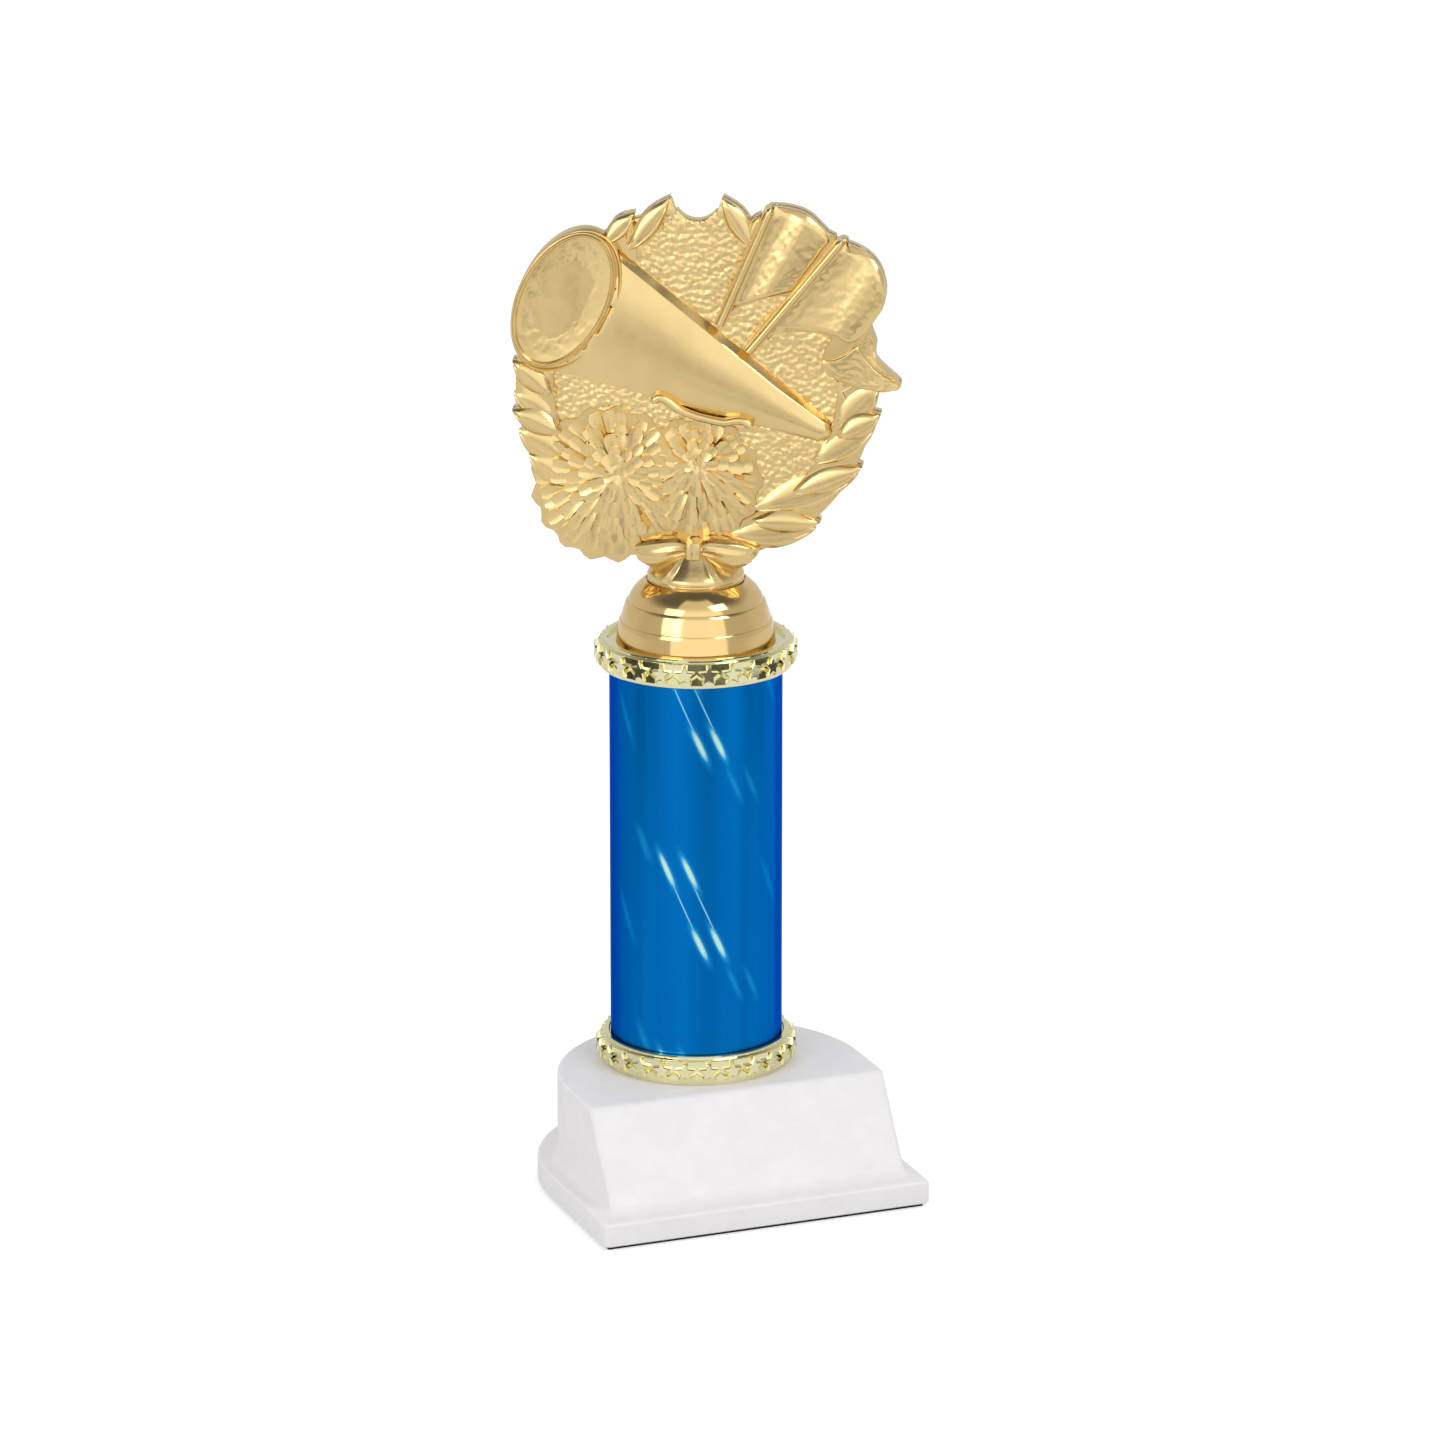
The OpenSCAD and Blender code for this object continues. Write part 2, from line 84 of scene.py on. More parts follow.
class AwardSizes(bpy.types.PropertyGroup):
    shield_lift: length("Shield height", "Height of the shield's centre over the foot of the neck", 0.0515)
    figure_turn: bpy.props.FloatProperty(name="Figure turn", description="Turn of the figure from the base",
                                         default=math.radians(-26), subtype="ANGLE", unit="ROTATION")
    plinth_width: length("Plinth width", "Width of the plinth above the foot", 0.081)
    plinth_front: length("Plinth front", "Rod's axis to the foot of the sloping front", 0.0456)
    plinth_top_front: length("Slope top", "Rod's axis to the top of the sloping front", 0.0295)
    foot_height: length("Foot height", "Height of the foot with its felt", 0.0072)
    base_edge: length("Base edges", "Rounding of the base's edges", 0.0009)
    base_fillet: length("Base fillet", "Hollow between the plinth and the foot", 0.0022)
    ground_cell: length("Ground cell", "Spacing of the mesh on the textured ground", 0.0004)
    ground_pebble: length("Ground pebbles", "Size of the pebbles on the textured ground", 0.0012)
    ground_height: length("Pebble height", "Height of the pebbles on the textured ground", 0.00045)


class AwardColours(bpy.types.PropertyGroup):
    figure_gold: colour("Figure gold", "Gilt finish of the figure", (0.80, 0.60, 0.275))
    riser_gold: colour("Riser gold", "Gilt finish of the riser", (0.84, 0.60, 0.26))
    ring_gold: colour("Ring gold", "Pale gilt finish of the star rings", (0.86, 0.81, 0.50))
    film_blue: colour("Film blue", "Metallic film on the column", (0.001, 0.185, 0.60))
    base_white: colour("Base white", "Moulded white of the base", (0.86, 0.84, 0.845))
    tube_white: colour("Tube white", "Card tube under the film", (0.80, 0.79, 0.77))


def sizes():
    return bpy.context.scene.award_sizes


def colours():
    return bpy.context.scene.award_colours


# ---------------------------------------------------------------- modelling helpers

def deselect():
    """Leaves edit mode and deselects every object."""
    if bpy.context.object and bpy.context.object.mode != "OBJECT":
        bpy.ops.object.mode_set(mode="OBJECT")
    bpy.ops.object.select_all(action="DESELECT")


def activate(piece):
    deselect()
    piece.select_set(True)
    bpy.context.view_layer.objects.active = piece


def begin(name, primitive, **size):
    """Adds a primitive and names it."""
    deselect()
    primitive(**size)
    piece = bpy.context.object
    piece.name = name
    piece.data.name = name
    return piece


def select_parts(piece, kind, test):
    """In edit mode, selects the faces, edges or vertices that pass a test, and nothing else."""
    bpy.ops.mesh.select_mode(type=kind)
    bpy.ops.mesh.select_all(action="DESELECT")
    work = bmesh.from_edit_mesh(piece.data)
    for part in {"FACE": work.faces, "EDGE": work.edges, "VERT": work.verts}[kind]:
        if test(part):
            part.select_set(True)
    work.select_flush_mode()
    bmesh.update_edit_mesh(piece.data)


def seal(piece):
    """Merges what lies together and turns every face outwards."""
    activate(piece)
    bpy.ops.object.mode_set(mode="EDIT")
    bpy.ops.mesh.select_mode(type="VERT")
    bpy.ops.mesh.select_all(action="SELECT")
    bpy.ops.mesh.remove_doubles(threshold=1e-4)
    bpy.ops.mesh.normals_make_consistent(inside=False)
    bpy.ops.object.mode_set(mode="OBJECT")
    return piece


def loft(name, rings):
    """A closed solid through outlines of equal length: the first is filled, and each next one is extruded
    from the last and drawn to its place."""
    piece = begin(name, bpy.ops.mesh.primitive_circle_add, vertices=len(rings[0]), radius=1, fill_type="NGON")
    number = piece.data.attributes.new("number", "INT", "POINT")
    for i, (vertex, point) in enumerate(zip(piece.data.vertices, rings[0])):
        vertex.co = point
        number.data[i].value = i
    bpy.ops.object.mode_set(mode="EDIT")
    bpy.ops.mesh.select_mode(type="FACE")
    bpy.ops.mesh.select_all(action="SELECT")
    for ring in rings[1:]:
        bpy.ops.mesh.extrude_region_move()
        work = bmesh.from_edit_mesh(piece.data)
        numbers = work.verts.layers.int["number"]
        for vertex in work.verts:
            if vertex.select:
                vertex.co = ring[vertex[numbers]]
        bmesh.update_edit_mesh(piece.data)
    bpy.ops.object.mode_set(mode="OBJECT")
    piece.data.attributes.remove(piece.data.attributes["number"])
    return seal(piece)


def turned(name, profile, steps=192):
    """A solid of revolution about the rod's axis from a closed half-section of (radius, height)."""
    piece = begin(name, bpy.ops.mesh.primitive_circle_add, vertices=len(profile), radius=1)
    for vertex, (radius, height) in zip(piece.data.vertices, profile):
        vertex.co = (radius, 0, height)
    bpy.ops.object.mode_set(mode="EDIT")
    bpy.ops.mesh.select_all(action="SELECT")
    bpy.ops.mesh.spin(steps=steps, angle=TURN, center=(0, 0, 0), axis=(0, 0, 1))
    return seal(piece)


def sheet(name, across, along, place, back):
    """A closed piece whose face is a grid laid out by place(u, v) and whose walls run back to a depth."""
    piece = begin(name, bpy.ops.mesh.primitive_grid_add, x_subdivisions=across, y_subdivisions=along, size=1)
    for vertex in piece.data.vertices:
        vertex.co = place(vertex.co.x + 0.5, vertex.co.y + 0.5)
    bpy.ops.object.mode_set(mode="EDIT")
    bpy.ops.mesh.select_mode(type="VERT")
    bpy.ops.mesh.select_all(action="SELECT")
    bpy.ops.mesh.remove_doubles(threshold=1e-4)
    bpy.ops.mesh.select_mode(type="EDGE")
    bpy.ops.mesh.select_all(action="DESELECT")
    bpy.ops.mesh.select_non_manifold(use_wire=False, use_boundary=True, use_multi_face=False,
                                     use_non_contiguous=False, use_verts=False)
    bpy.ops.mesh.extrude_edges_move()
    work = bmesh.from_edit_mesh(piece.data)
    for vertex in work.verts:
        if vertex.select:
            vertex.co.z = back(vertex.co) if callable(back) else back
    bmesh.update_edit_mesh(piece.data)
    bpy.ops.mesh.edge_face_add()
    return seal(piece)


def copy_of(model, matrix):
    """A copy of a modelled shape with its own mesh, drawn into place."""
    twin = bpy.data.objects.new(model.name + "_copy", model.data.copy())
    twin.data.transform(matrix)
    bpy.context.scene.collection.objects.link(twin)
    return twin


def join(name, pieces):
    """Joins pieces into one object."""
    deselect()
    for piece in pieces:
        piece.select_set(True)
    bpy.context.view_layer.objects.active = pieces[0]
    bpy.ops.object.join()
    pieces[0].name = name
    pieces[0].data.name = name
    return pieces[0]


def discard(piece):
    bpy.data.objects.remove(piece)


def soften(piece, width, segments=2, limit=40):
    """Rounds the sharp edges of a piece."""
    activate(piece)
    bpy.ops.object.modifier_add(type="BEVEL")
    bevel = piece.modifiers[-1]
    bevel.width = width
    bevel.segments = segments
    bevel.limit_method = "ANGLE"
    bevel.angle_limit = math.radians(limit)
    bevel.miter_outer = "MITER_ARC"
    bpy.ops.object.modifier_apply(modifier=bevel.name)


def cut_out(piece, tool):
    """Cuts a tool's shape out of a piece and discards the tool."""
    activate(piece)
    bpy.ops.object.modifier_add(type="BOOLEAN")
    cut = piece.modifiers[-1]
    cut.operation = "DIFFERENCE"
    cut.solver = "EXACT"
    cut.object = tool
    bpy.ops.object.modifier_apply(modifier=cut.name)
    discard(tool)


def settle(piece, body, material, nodes, smooth=35, matrix=None):
    piece.data.transform((Matrix.Identity(4) if matrix is None else matrix))
    piece.data.transform(Matrix.Scale(MM, 4))
    activate(piece)
    bpy.ops.object.shade_smooth_by_angle(angle=math.radians(smooth))
    piece.data.materials.clear()
    piece.data.materials.append(material)
    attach(piece, body)
    if nodes:
        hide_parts(*nodes)
    return piece


def standing():
    """Stands the flat relief up: x across, y up and z forward, from the shield's centre."""
    lift = NECK_Z + sizes().shield_lift / MM
    return (Matrix.Translation((0, 0, lift)) @ Matrix.Rotation(sizes().figure_turn, 4, "Z")
            @ Matrix.Rotation(QUARTER, 4, "X"))


# ---------------------------------------------------------------- shapes

def ease(low, high, value):
    """0 below low, 1 above high, and a smooth rise between them."""
    t = min(1, max(0, (value - low) / (high - low)))
    return t * t * (3 - 2 * t)


def through(points, steps=4):
    """A closed smooth outline through round points."""
    count = len(points)
    out = []
    for i in range(count):
        a, b, c, d = (Vector(points[(i + k) % count]) for k in (-1, 0, 1, 2))
        for j in range(steps):
            t = j / steps
            out.append((2 * b + (c - a) * t + (2 * a - 5 * b + 4 * c - d) * t * t
                        + (3 * b - a - 3 * c + d) * t * t * t) / 2)
    return out


def along(points, t):
    """The point at part t of the way along an open smooth line through points."""
    count = len(points) - 1
    x = min(max(t, 0), 0.999999) * count
    i = int(x)
    t = x - i
    a, b, c, d = (Vector(points[min(max(i + k, 0), count)]) for k in (-1, 0, 1, 2))
    return (2 * b + (c - a) * t + (2 * a - 5 * b + 4 * c - d) * t * t
            + (3 * b - a - 3 * c + d) * t * t * t) / 2


def at_depth(points, depth):
    return [(p[0], p[1], depth) for p in points]


def inset_outline(points, distance):
    """An outline drawn inwards along its own normals."""
    count = len(points)
    area = sum(points[i][0] * points[(i + 1) % count][1] - points[(i + 1) % count][0] * points[i][1]
               for i in range(count))
    side = 1 if area > 0 else -1
    out = []
    for i in range(count):
        before, here, after = (Vector(points[(i + k) % count][:2]) for k in (-1, 0, 1))
        first, second = (here - before), (after - here)
        normal = Vector((-(first.y + second.y), first.x + second.x)).normalized()
        bend = max(0.5, normal.dot(Vector((-second.y, second.x)).normalized()))
        out.append(here + normal * side * distance / bend)
    return out


def raised(name, outline, low, high, edge, draft=0.0, steps=4):
    """A flat-topped piece from an outline, with a rounded upper edge and a little draft on its walls."""
    rings = [at_depth(outline, low)]
    for i in range(steps + 1):
        t = QUARTER * i / steps
        inner = inset_outline(outline, draft + edge * (1 - math.cos(t)))
        rings.append(at_depth(inner, high - edge + edge * math.sin(t)))
    return loft(name, rings)


def d_plan(half_width, front, arc_y, corner, side=10, arc=72):
    """The base's plan: straight front with rounded corners, straight sides and a round back."""
    points = []
    for cx, start in ((half_width - corner, -QUARTER), (-half_width + corner, -math.pi)):
        quarter = [start + QUARTER * i / side for i in range(side + 1)]
        turn = [(cx + corner * math.cos(a), -front + corner + corner * math.sin(a)) for a in quarter]
        if not points:
            points += turn
            points += [(half_width * math.cos(a), -arc_y + half_width * math.sin(a))
                       for a in (math.pi * i / arc for i in range(arc + 1))]
        else:
            points += turn
    return points


# ---------------------------------------------------------------- materials

class Finish:
    """Builds a node material for one finish."""

    def __init__(self, name, **sockets):
        self.material = bpy.data.materials.new(name)
        self.material.use_nodes = True
        self.nodes = self.material.node_tree.nodes
        self.links = self.material.node_tree.links
        self.shader = self.nodes["Principled BSDF"]
        for socket, value in sockets.items():
            label = "IOR" if socket == "ior" else socket.replace("_", " ").title().replace("Ior", "IOR")
            self.shader.inputs[label].default_value = value
        self.place = self.nodes.new("ShaderNodeTexCoord").outputs["Object"]

    def join(self, start, end):
        self.links.new(start, end)

    def noise(self, scale, detail=3, roughness=0.55, stretch=None):
        """Fractal noise on object coordinates, with its scale in waves a metre."""
        node = self.nodes.new("ShaderNodeTexNoise")
        node.inputs["Scale"].default_value = scale
        node.inputs["Detail"].default_value = detail
        node.inputs["Roughness"].default_value = roughness
        source = self.place
        if stretch:
            mapping = self.nodes.new("ShaderNodeMapping")
            mapping.inputs["Scale"].default_value = stretch
            self.join(source, mapping.inputs["Vector"])
            source = mapping.outputs["Vector"]
        self.join(source, node.inputs["Vector"])
        return node.outputs["Fac"]

    def spread(self, value, low, high, start=0.3, end=0.7):
        """Maps a pattern to a range."""
        node = self.nodes.new("ShaderNodeMapRange")
        for socket, number in zip(("From Min", "From Max", "To Min", "To Max"), (start, end, low, high)):
            node.inputs[socket].default_value = number
        self.join(value, node.inputs["Value"])
        return node.outputs["Result"]

    def blend(self, factor, first, second):
        """Blends two colours by a pattern."""
        node = self.nodes.new("ShaderNodeMix")
        node.data_type = "RGBA"
        for name, value in (("A", first), ("B", second)):
            socket = next(s for s in node.inputs if s.name == name and s.type == "RGBA")
            if isinstance(value, bpy.types.NodeSocket):
                self.join(value, socket)
            else:
                socket.default_value = (*value, 1)
        self.join(factor, node.inputs["Factor"])
        return next(s for s in node.outputs if s.type == "RGBA")

    def sum(self, operation, first, second=None):
        """A math node on values or numbers."""
        node = self.nodes.new("ShaderNodeMath")
        node.operation = operation
        for socket, value in zip(node.inputs, (first, second)):
            if isinstance(value, bpy.types.NodeSocket):
                self.join(value, socket)
            elif value is not None:
                socket.default_value = value
        return node.outputs["Value"]

    def relief(self, *layers):
        """Adds bump layers of (pattern, height in metres)."""
        last = None
        for pattern, height in layers:
            node = self.nodes.new("ShaderNodeBump")
            node.inputs["Distance"].default_value = height
            self.join(pattern, node.inputs["Height"])
            if last:
                self.join(last, node.inputs["Normal"])
            last = node.outputs["Normal"]
        self.join(last, self.shader.inputs["Normal"])

    def base(self, colour_socket):
        self.join(colour_socket, self.shader.inputs["Base Color"])

    def rough(self, value):
        self.join(value, self.shader.inputs["Roughness"])


def shade(tone, factor):
    return tuple(min(1, c * factor) for c in tone)


def gilt(name, tone, rough_low, rough_high, grain=0.00001, grain_scale=900, cast=0.06):
    """Vacuum-plated gold over moulded plastic: slight colour cast, orange peel and uneven gloss."""
    finish = Finish(name, metallic=1.0)
    cloud = finish.noise(55, 4)
    finish.base(finish.blend(finish.spread(cloud, 0, 1), shade(tone, 1 - cast), shade(tone, 1 + cast)))
    finish.rough(finish.spread(finish.noise(160, 3), rough_low, rough_high))
    finish.relief((finish.noise(grain_scale, 2), grain), (finish.noise(230, 2), grain * 1.6))
    return finish.material


def plain_material(name, tone, metallic, rough_low, rough_high, scale, bump, stretch=None, cast=0.08):
    """A finish with fine cloudy colour, uneven gloss and a grain."""
    finish = Finish(name, metallic=metallic)
    finish.base(finish.blend(finish.spread(finish.noise(scale, 4, stretch=stretch), 0, 1),
                             shade(tone, 1 - cast), shade(tone, 1 + cast)))
    finish.rough(finish.spread(finish.noise(scale * 1.7, 3, stretch=stretch), rough_low, rough_high))
    finish.relief((finish.noise(scale * 3, 3, stretch=stretch), bump))
    return finish.material


def film_material():
    """Blue metallic film: fine brushed grain, soft upright bands, and slanting pale streaks of painted highlight
    that repeat up the tube and on its far side."""
    finish = Finish("blue_film", metallic=1.0, specular_tint=(0.02, 0.25, 0.7, 1))
    turn = finish.nodes.new("ShaderNodeMapping")
    turn.inputs["Rotation"].default_value = (0, 0, math.radians(21.5))
    finish.join(finish.place, turn.inputs["Vector"])
    split = finish.nodes.new("ShaderNodeSeparateXYZ")
    finish.join(turn.outputs["Vector"], split.inputs["Vector"])
    x, y, z = split.outputs
    angle = finish.sum("ARCTAN2", x, finish.sum("MULTIPLY", y, -1))
    wrapped = finish.sum("WRAP", angle, QUARTER)
    finish.nodes[-1].inputs[2].default_value = -QUARTER
    around = finish.sum("MULTIPLY", wrapped, 22.2)
    up = finish.sum("MODULO", finish.sum("ADD", finish.sum("MULTIPLY", z, 1000), 4.2), 53.3)
    bands = finish.noise(1, 3, stretch=(70, 70, 0.6))
    tone = finish.blend(finish.spread(bands, 0, 1, 0.36, 0.64), shade(colours().film_blue, 0.78),
                        shade(colours().film_blue, 1.12))
    # Painted highlights: pale slanting streaks laid into the film's colour where its glints fall, repeating up the
    # tube and on its far side
    painted_highlight = None
    for centre_s, centre_z, half, width, power in HIGHLIGHT_STREAKS:
        across = finish.sum("SUBTRACT", around, centre_s)
        down = finish.sum("SUBTRACT", up, centre_z)
        lean = finish.sum("ADD", across, finish.sum("MULTIPLY", down, 0.44))
        bow = finish.sum("ABSOLUTE", finish.sum("DIVIDE", down, half))
        narrow = finish.sum("DIVIDE", lean, width)
        far = finish.sum("ADD", finish.sum("POWER", bow, 2.5), finish.sum("MULTIPLY", narrow, narrow))
        highlight_spot = finish.sum("MULTIPLY", finish.sum("EXPONENT", finish.sum("MULTIPLY", far, -1)), power)
        painted_highlight = highlight_spot if painted_highlight is None else finish.sum("MAXIMUM", painted_highlight, highlight_spot)
    # The painted highlight has a pale cyan core and a lighter blue halo over the film's own banded tone
    core = finish.spread(painted_highlight, 0, 1, 0.45, 1)
    highlight_halo = finish.spread(painted_highlight, 0, 1, 0.02, 0.7)
    finish.base(finish.blend(core, finish.blend(highlight_halo, tone, (0.02, 0.42, 0.85)), (0.62, 0.95, 0.80)))
    finish.rough(finish.spread(finish.noise(500, 3, stretch=(1, 1, 0.05)), 0.24, 0.34))
    finish.relief((finish.noise(1500, 2, stretch=(1, 1, 0.04)), 0.000004))
    return finish.material


# Painted highlight streaks on the film, each as place round the tube, height in its repeat, half length, half
# width, power
HIGHLIGHT_STREAKS = (
    (-7.5, 38.7, 4.8, 0.95, 1.15), (-1.55, 38.2, 4.6, 0.95, 1.15), (1.0, 19.0, 4.6, 0.95, 1.15),
    (5.8, 19.2, 4.6, 0.95, 1.15), (-3.2, 28.9, 10.5, 0.26, 0.8), (2.1, 28.7, 10.5, 0.26, 0.8),
    (10.2, 7.9, 4.5, 0.8, 0.34), (15.4, 7.0, 4.5, 0.8, 0.34), (-14.3, 45.0, 4.5, 1.2, 0.32),
    (-20.5, 24.0, 6.0, 1.0, 0.3), (22.0, 33.0, 6.0, 1.0, 0.3))


def white_material():
    """Moulded white plastic with the faintest mottling."""
    finish = Finish("base_white", metallic=0.0, ior=1.46)
    tone = colours().base_white
    mottle = finish.noise(130, 5, 0.7)
    finish.base(finish.blend(finish.spread(mottle, 0, 1, 0.35, 0.65), shade(tone, 0.975), shade(tone, 1.02)))
    finish.rough(finish.spread(finish.noise(240, 3), 0.36, 0.5))
    finish.relief((finish.noise(420, 4), 0.00001), (finish.noise(60, 2), 0.00003))
    return finish.material


MATERIALS = {}


def finish_named(key):
    """The material of one of the award's finishes, made once."""
    tones = colours()
    makers = {
        "figure": lambda: gilt("figure_gold", tones.figure_gold, 0.17, 0.27),
        "ground": lambda: gilt("ground_gold", tones.figure_gold, 0.24, 0.34, 0.00008, 1300),
        "riser": lambda: gilt("riser_gold", tones.riser_gold, 0.09, 0.14, 0.000003, 300, 0.03),
        "ring": lambda: gilt("ring_gold", tones.ring_gold, 0.05, 0.1, 0.000004, 420, 0.04),
        "film": film_material,
        "white": white_material,
        "tube": lambda: plain_material("core_card", tones.tube_white, 0, 0.7, 0.85, 300, 0.00002),
        "iron": lambda: plain_material("cast_weight", (0.09, 0.088, 0.085), 0.8, 0.5, 0.7, 500, 0.0001),
        "board": lambda: plain_material("board", (0.23, 0.14, 0.075), 0, 0.75, 0.9, 400, 0.00005,
                                        (1, 0.25, 1)),
        "felt": lambda: plain_material("felt", (0.018, 0.018, 0.02), 0, 0.92, 1, 900, 0.0003, cast=0.3),
        "steel": lambda: plain_material("zinc_steel", (0.62, 0.62, 0.6), 1, 0.22, 0.36, 350, 0.00001),
    }
    if key not in MATERIALS:
        MATERIALS[key] = makers[key]()
    return MATERIALS[key]


# ---------------------------------------------------------------- figure helpers

def outlines_of(node, depth, tolerance=0.02):
    """The outlines of a CAD node's flat face at a depth of the relief, longest first."""
    work = bmesh.new()
    work.from_mesh(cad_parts[node].data)
    work.transform(standing().inverted() @ Matrix.Scale(1 / MM, 4))
    bmesh.ops.remove_doubles(work, verts=work.verts, dist=1e-3)
    faces = {f for f in work.faces if all(abs(v.co.z - depth) < tolerance for v in f.verts)}
    if not faces:
        raise RuntimeError(f"{node} has no face at a depth of {depth}")
    edges = {e for f in faces for e in f.edges if sum(g in faces for g in e.link_faces) == 1}
    loops = []
    while edges:
        edge = edges.pop()
        start, here = edge.verts
        loop = [start, here]
        while here is not start:
            step = next((e for e in here.link_edges if e in edges), None)
            if step is None:
                break
            edges.discard(step)
            here = step.other_vert(here)
            loop.append(here)
        points = []
        for vertex in loop[:-1]:
            point = vertex.co.to_2d()
            if not points or (point - points[-1]).length > 0.12:
                points.append(point)
        if (points[0] - points[-1]).length < 0.12:
            points.pop()
        loops.append(points)
    work.free()
    return sorted(loops, key=lambda p: -sum((a - b).length for a, b in zip(p, p[1:])))


def leaf(root, tip, half, crown, depth, rim=0.35, low=-1.0):
    """A pointed leaf: arched across, with a rolled rim along its lower side."""
    root, tip = Vector(root), Vector(tip)
    line = tip - root
    side = Vector((-line.y, line.x)).normalized()
    if side.y < 0:
        side = -side

    def place(u, v):
        s = 2 * v - 1
        width = half * max(0.0, math.sin(math.pi * min(1, 0.04 + 0.96 * u))) ** 0.85
        point = root + line * u + side * width * s
        rolled = rim * math.exp(-((s + 0.72) / 0.16) ** 2) * min(1, width)
        arch = crown * (1 - abs(s) ** 2.2) * ease(0, 0.6, width / half)
        return (point.x, point.y, depth - 0.6 + arch + rolled)

    return sheet("leaf", 16, 12, place, low)


def tinsel_strip(width, reach):
    """One tinsel strip of a pom-pom: it widens to a blunt end, is dished along its middle and has thick
    ends that stand over the layer below."""
    def place(u, v):
        s = 2 * v - 1
        blunt = 1 - 0.35 * max(0.0, (u - 0.85) / 0.15) ** 2
        spread = width * (0.45 + 0.55 * u) * blunt
        return (reach * u, spread * s, 0.1 + 0.35 * math.sin(math.pi * 0.8 * u) + 0.22 * s * s)

    return sheet("strip", 6, 4, place, lambda point: -1.6)


# ---------------------------------------------------------------- pieces

class AWARD_OT_base(bpy.types.Operator):
    """Model the white base: foot, fillet, sloping plinth, hollow and boss"""
    bl_idname = "award.base"
    bl_label = "Base"

    def execute(self, context):
        size = sizes()
        foot, top, low = size.foot_height / MM, BASE_HIGH.z, BASE_LOW.z
        edge, fillet = size.base_edge / MM, size.base_fillet / MM
        half_foot, foot_front, foot_arc = BASE_HIGH.x, -BASE_LOW.y, BASE_HIGH.x - BASE_HIGH.y
        half, plinth_arc, wall = size.plinth_width / 2 / MM, 12.6, 3.0
        front_low, front_high = size.plinth_front / MM, size.plinth_top_front / MM
        slope = (front_low - front_high) / (top - foot)

        def front_at(z):
            return front_low - (z - foot) * slope

        def foot_ring(inset, z):
            return at_depth(d_plan(half_foot - inset, foot_front - inset, foot_arc, 1.3), z)

        def plinth_ring(out, z):
            return at_depth(d_plan(half + out, front_at(z) + out, plinth_arc, 1.6 + max(0, out)), z)

        quarter = [QUARTER * i / 5 for i in range(6)]
        rings = [foot_ring(0.3, low), foot_ring(0, low + 0.3)]
        rings += [foot_ring(edge * (1 - math.cos(t)), foot - edge + edge * math.sin(t)) for t in quarter]
        rings += [plinth_ring(fillet * (1 - math.sin(t)), foot + fillet * (1 - math.cos(t))) for t in quarter]
        rings += [plinth_ring(-edge * (1 - math.cos(t)), top - edge + edge * math.sin(t)) for t in quarter]
        base = loft("base", rings)
        setback = wall * math.hypot(1, slope)
        cavity = loft("cavity", [at_depth(d_plan(half - wall, front_low - wall, plinth_arc, 1), z)
                                 for z in (low - 1, foot - 0.6)]
                      + [at_depth(d_plan(half - wall, front_at(top - wall) - setback, plinth_arc, 1), top - wall)])
        cut_out(base, cavity)
        ledge = [at_depth(d_plan(half - wall + 1.6, front_low - wall + 1.6, plinth_arc, 1), z)
                 for z in (low - 1, low + 2)]
        cut_out(base, loft("ledge", ledge))
        cut_out(base, turned("bore", [(0, low), (2.815, low), (2.815, top + 1), (0, top + 1)], 48))
        boss = turned("boss", [(2.815, 14), (8.7, 14), (9, 14.3), (9, top - wall + 0.5), (2.815, top - wall + 0.5)],
                      64)
        base = join("base", [base, boss])
        settle(base, "base", finish_named("white"), ["base_shell"], smooth=32)
        return {"FINISHED"}


class AWARD_OT_rings(bpy.types.Operator):
    """Model a star ring once and set it at the foot and the top of the column"""
    bl_idname = "award.rings"
    bl_label = "Star rings"

    def execute(self, context):
        stars = 26
        body = turned("ring_body", [
            (22.5, 0.15), (22.7, 0), (24.5, 0), (24.72, 0.2), (24.85, 1.75), (24.65, 1.95), (24.1, 2.05),
            (24.1, 4.35), (24.4, 4.45), (24.4, 6.5), (24.0, 6.62), (23.9, 6.75), (23.9, 7.2), (23.72, 7.4),
            (22.75, 7.4), (22.5, 7.15), (22.5, 6.2), (2.815, 6.2), (2.815, 4.6), (22.5, 4.6)], 208)

        def outwards(name, outline, *steps):
            """A raised motif on the ring: its outline at each (radius, scale) step."""
            centre = sum((Vector(p) for p in outline), Vector((0, 0))) / len(outline)
            rings = []
            for radius, scale in steps:
                drawn = [centre + (Vector(p) - centre) * scale for p in outline]
                rings.append([(p.x, -radius, p.y) for p in drawn])
            return loft(name, rings)

        star_points = [(2.72 * (1 if i % 2 == 0 else 0.47) * math.sin(math.pi * i / 5),
                        3.72 + 2.72 * (1 if i % 2 == 0 else 0.47) * math.cos(math.pi * i / 5))
                       for i in range(10)]
        star = outwards("star", star_points, (23.8, 1), (25.75, 1), (25.98, 0.84))
        panel = outwards("panel", [(-2.62, 4.62), (-2.1, 4.42), (2.1, 4.42), (2.62, 4.62), (2.5, 6.5), (-2.5, 6.5)],
                         (23.6, 1), (24.82, 1), (24.95, 0.93))
        house = outwards("house", [(-1.5, 0.95), (1.5, 0.95), (1.5, 2.35), (0, 3.45), (-1.5, 2.35)],
                         (23.8, 1), (25.0, 1), (25.25, 0.84))
        motifs = []
        for i in range(stars):
            on_star = Matrix.Rotation(TURN * i / stars, 4, "Z")
            between = Matrix.Rotation(TURN * (i + 0.5) / stars, 4, "Z")
            motifs += [copy_of(star, on_star), copy_of(panel, between), copy_of(house, between)]
        for model in (star, panel, house):
            discard(model)
        ring = join("ring", [body] + motifs)
        for name, height in (("lower_star_ring", LOWER_RING_Z), ("upper_star_ring", UPPER_RING_Z)):
            piece = copy_of(ring, Matrix.Translation((0, 0, height)))
            piece.name = piece.data.name = name
            settle(piece, "column", finish_named("ring"),
                   [name.replace("star_", "")], smooth=28)
        discard(ring)
        return {"FINISHED"}


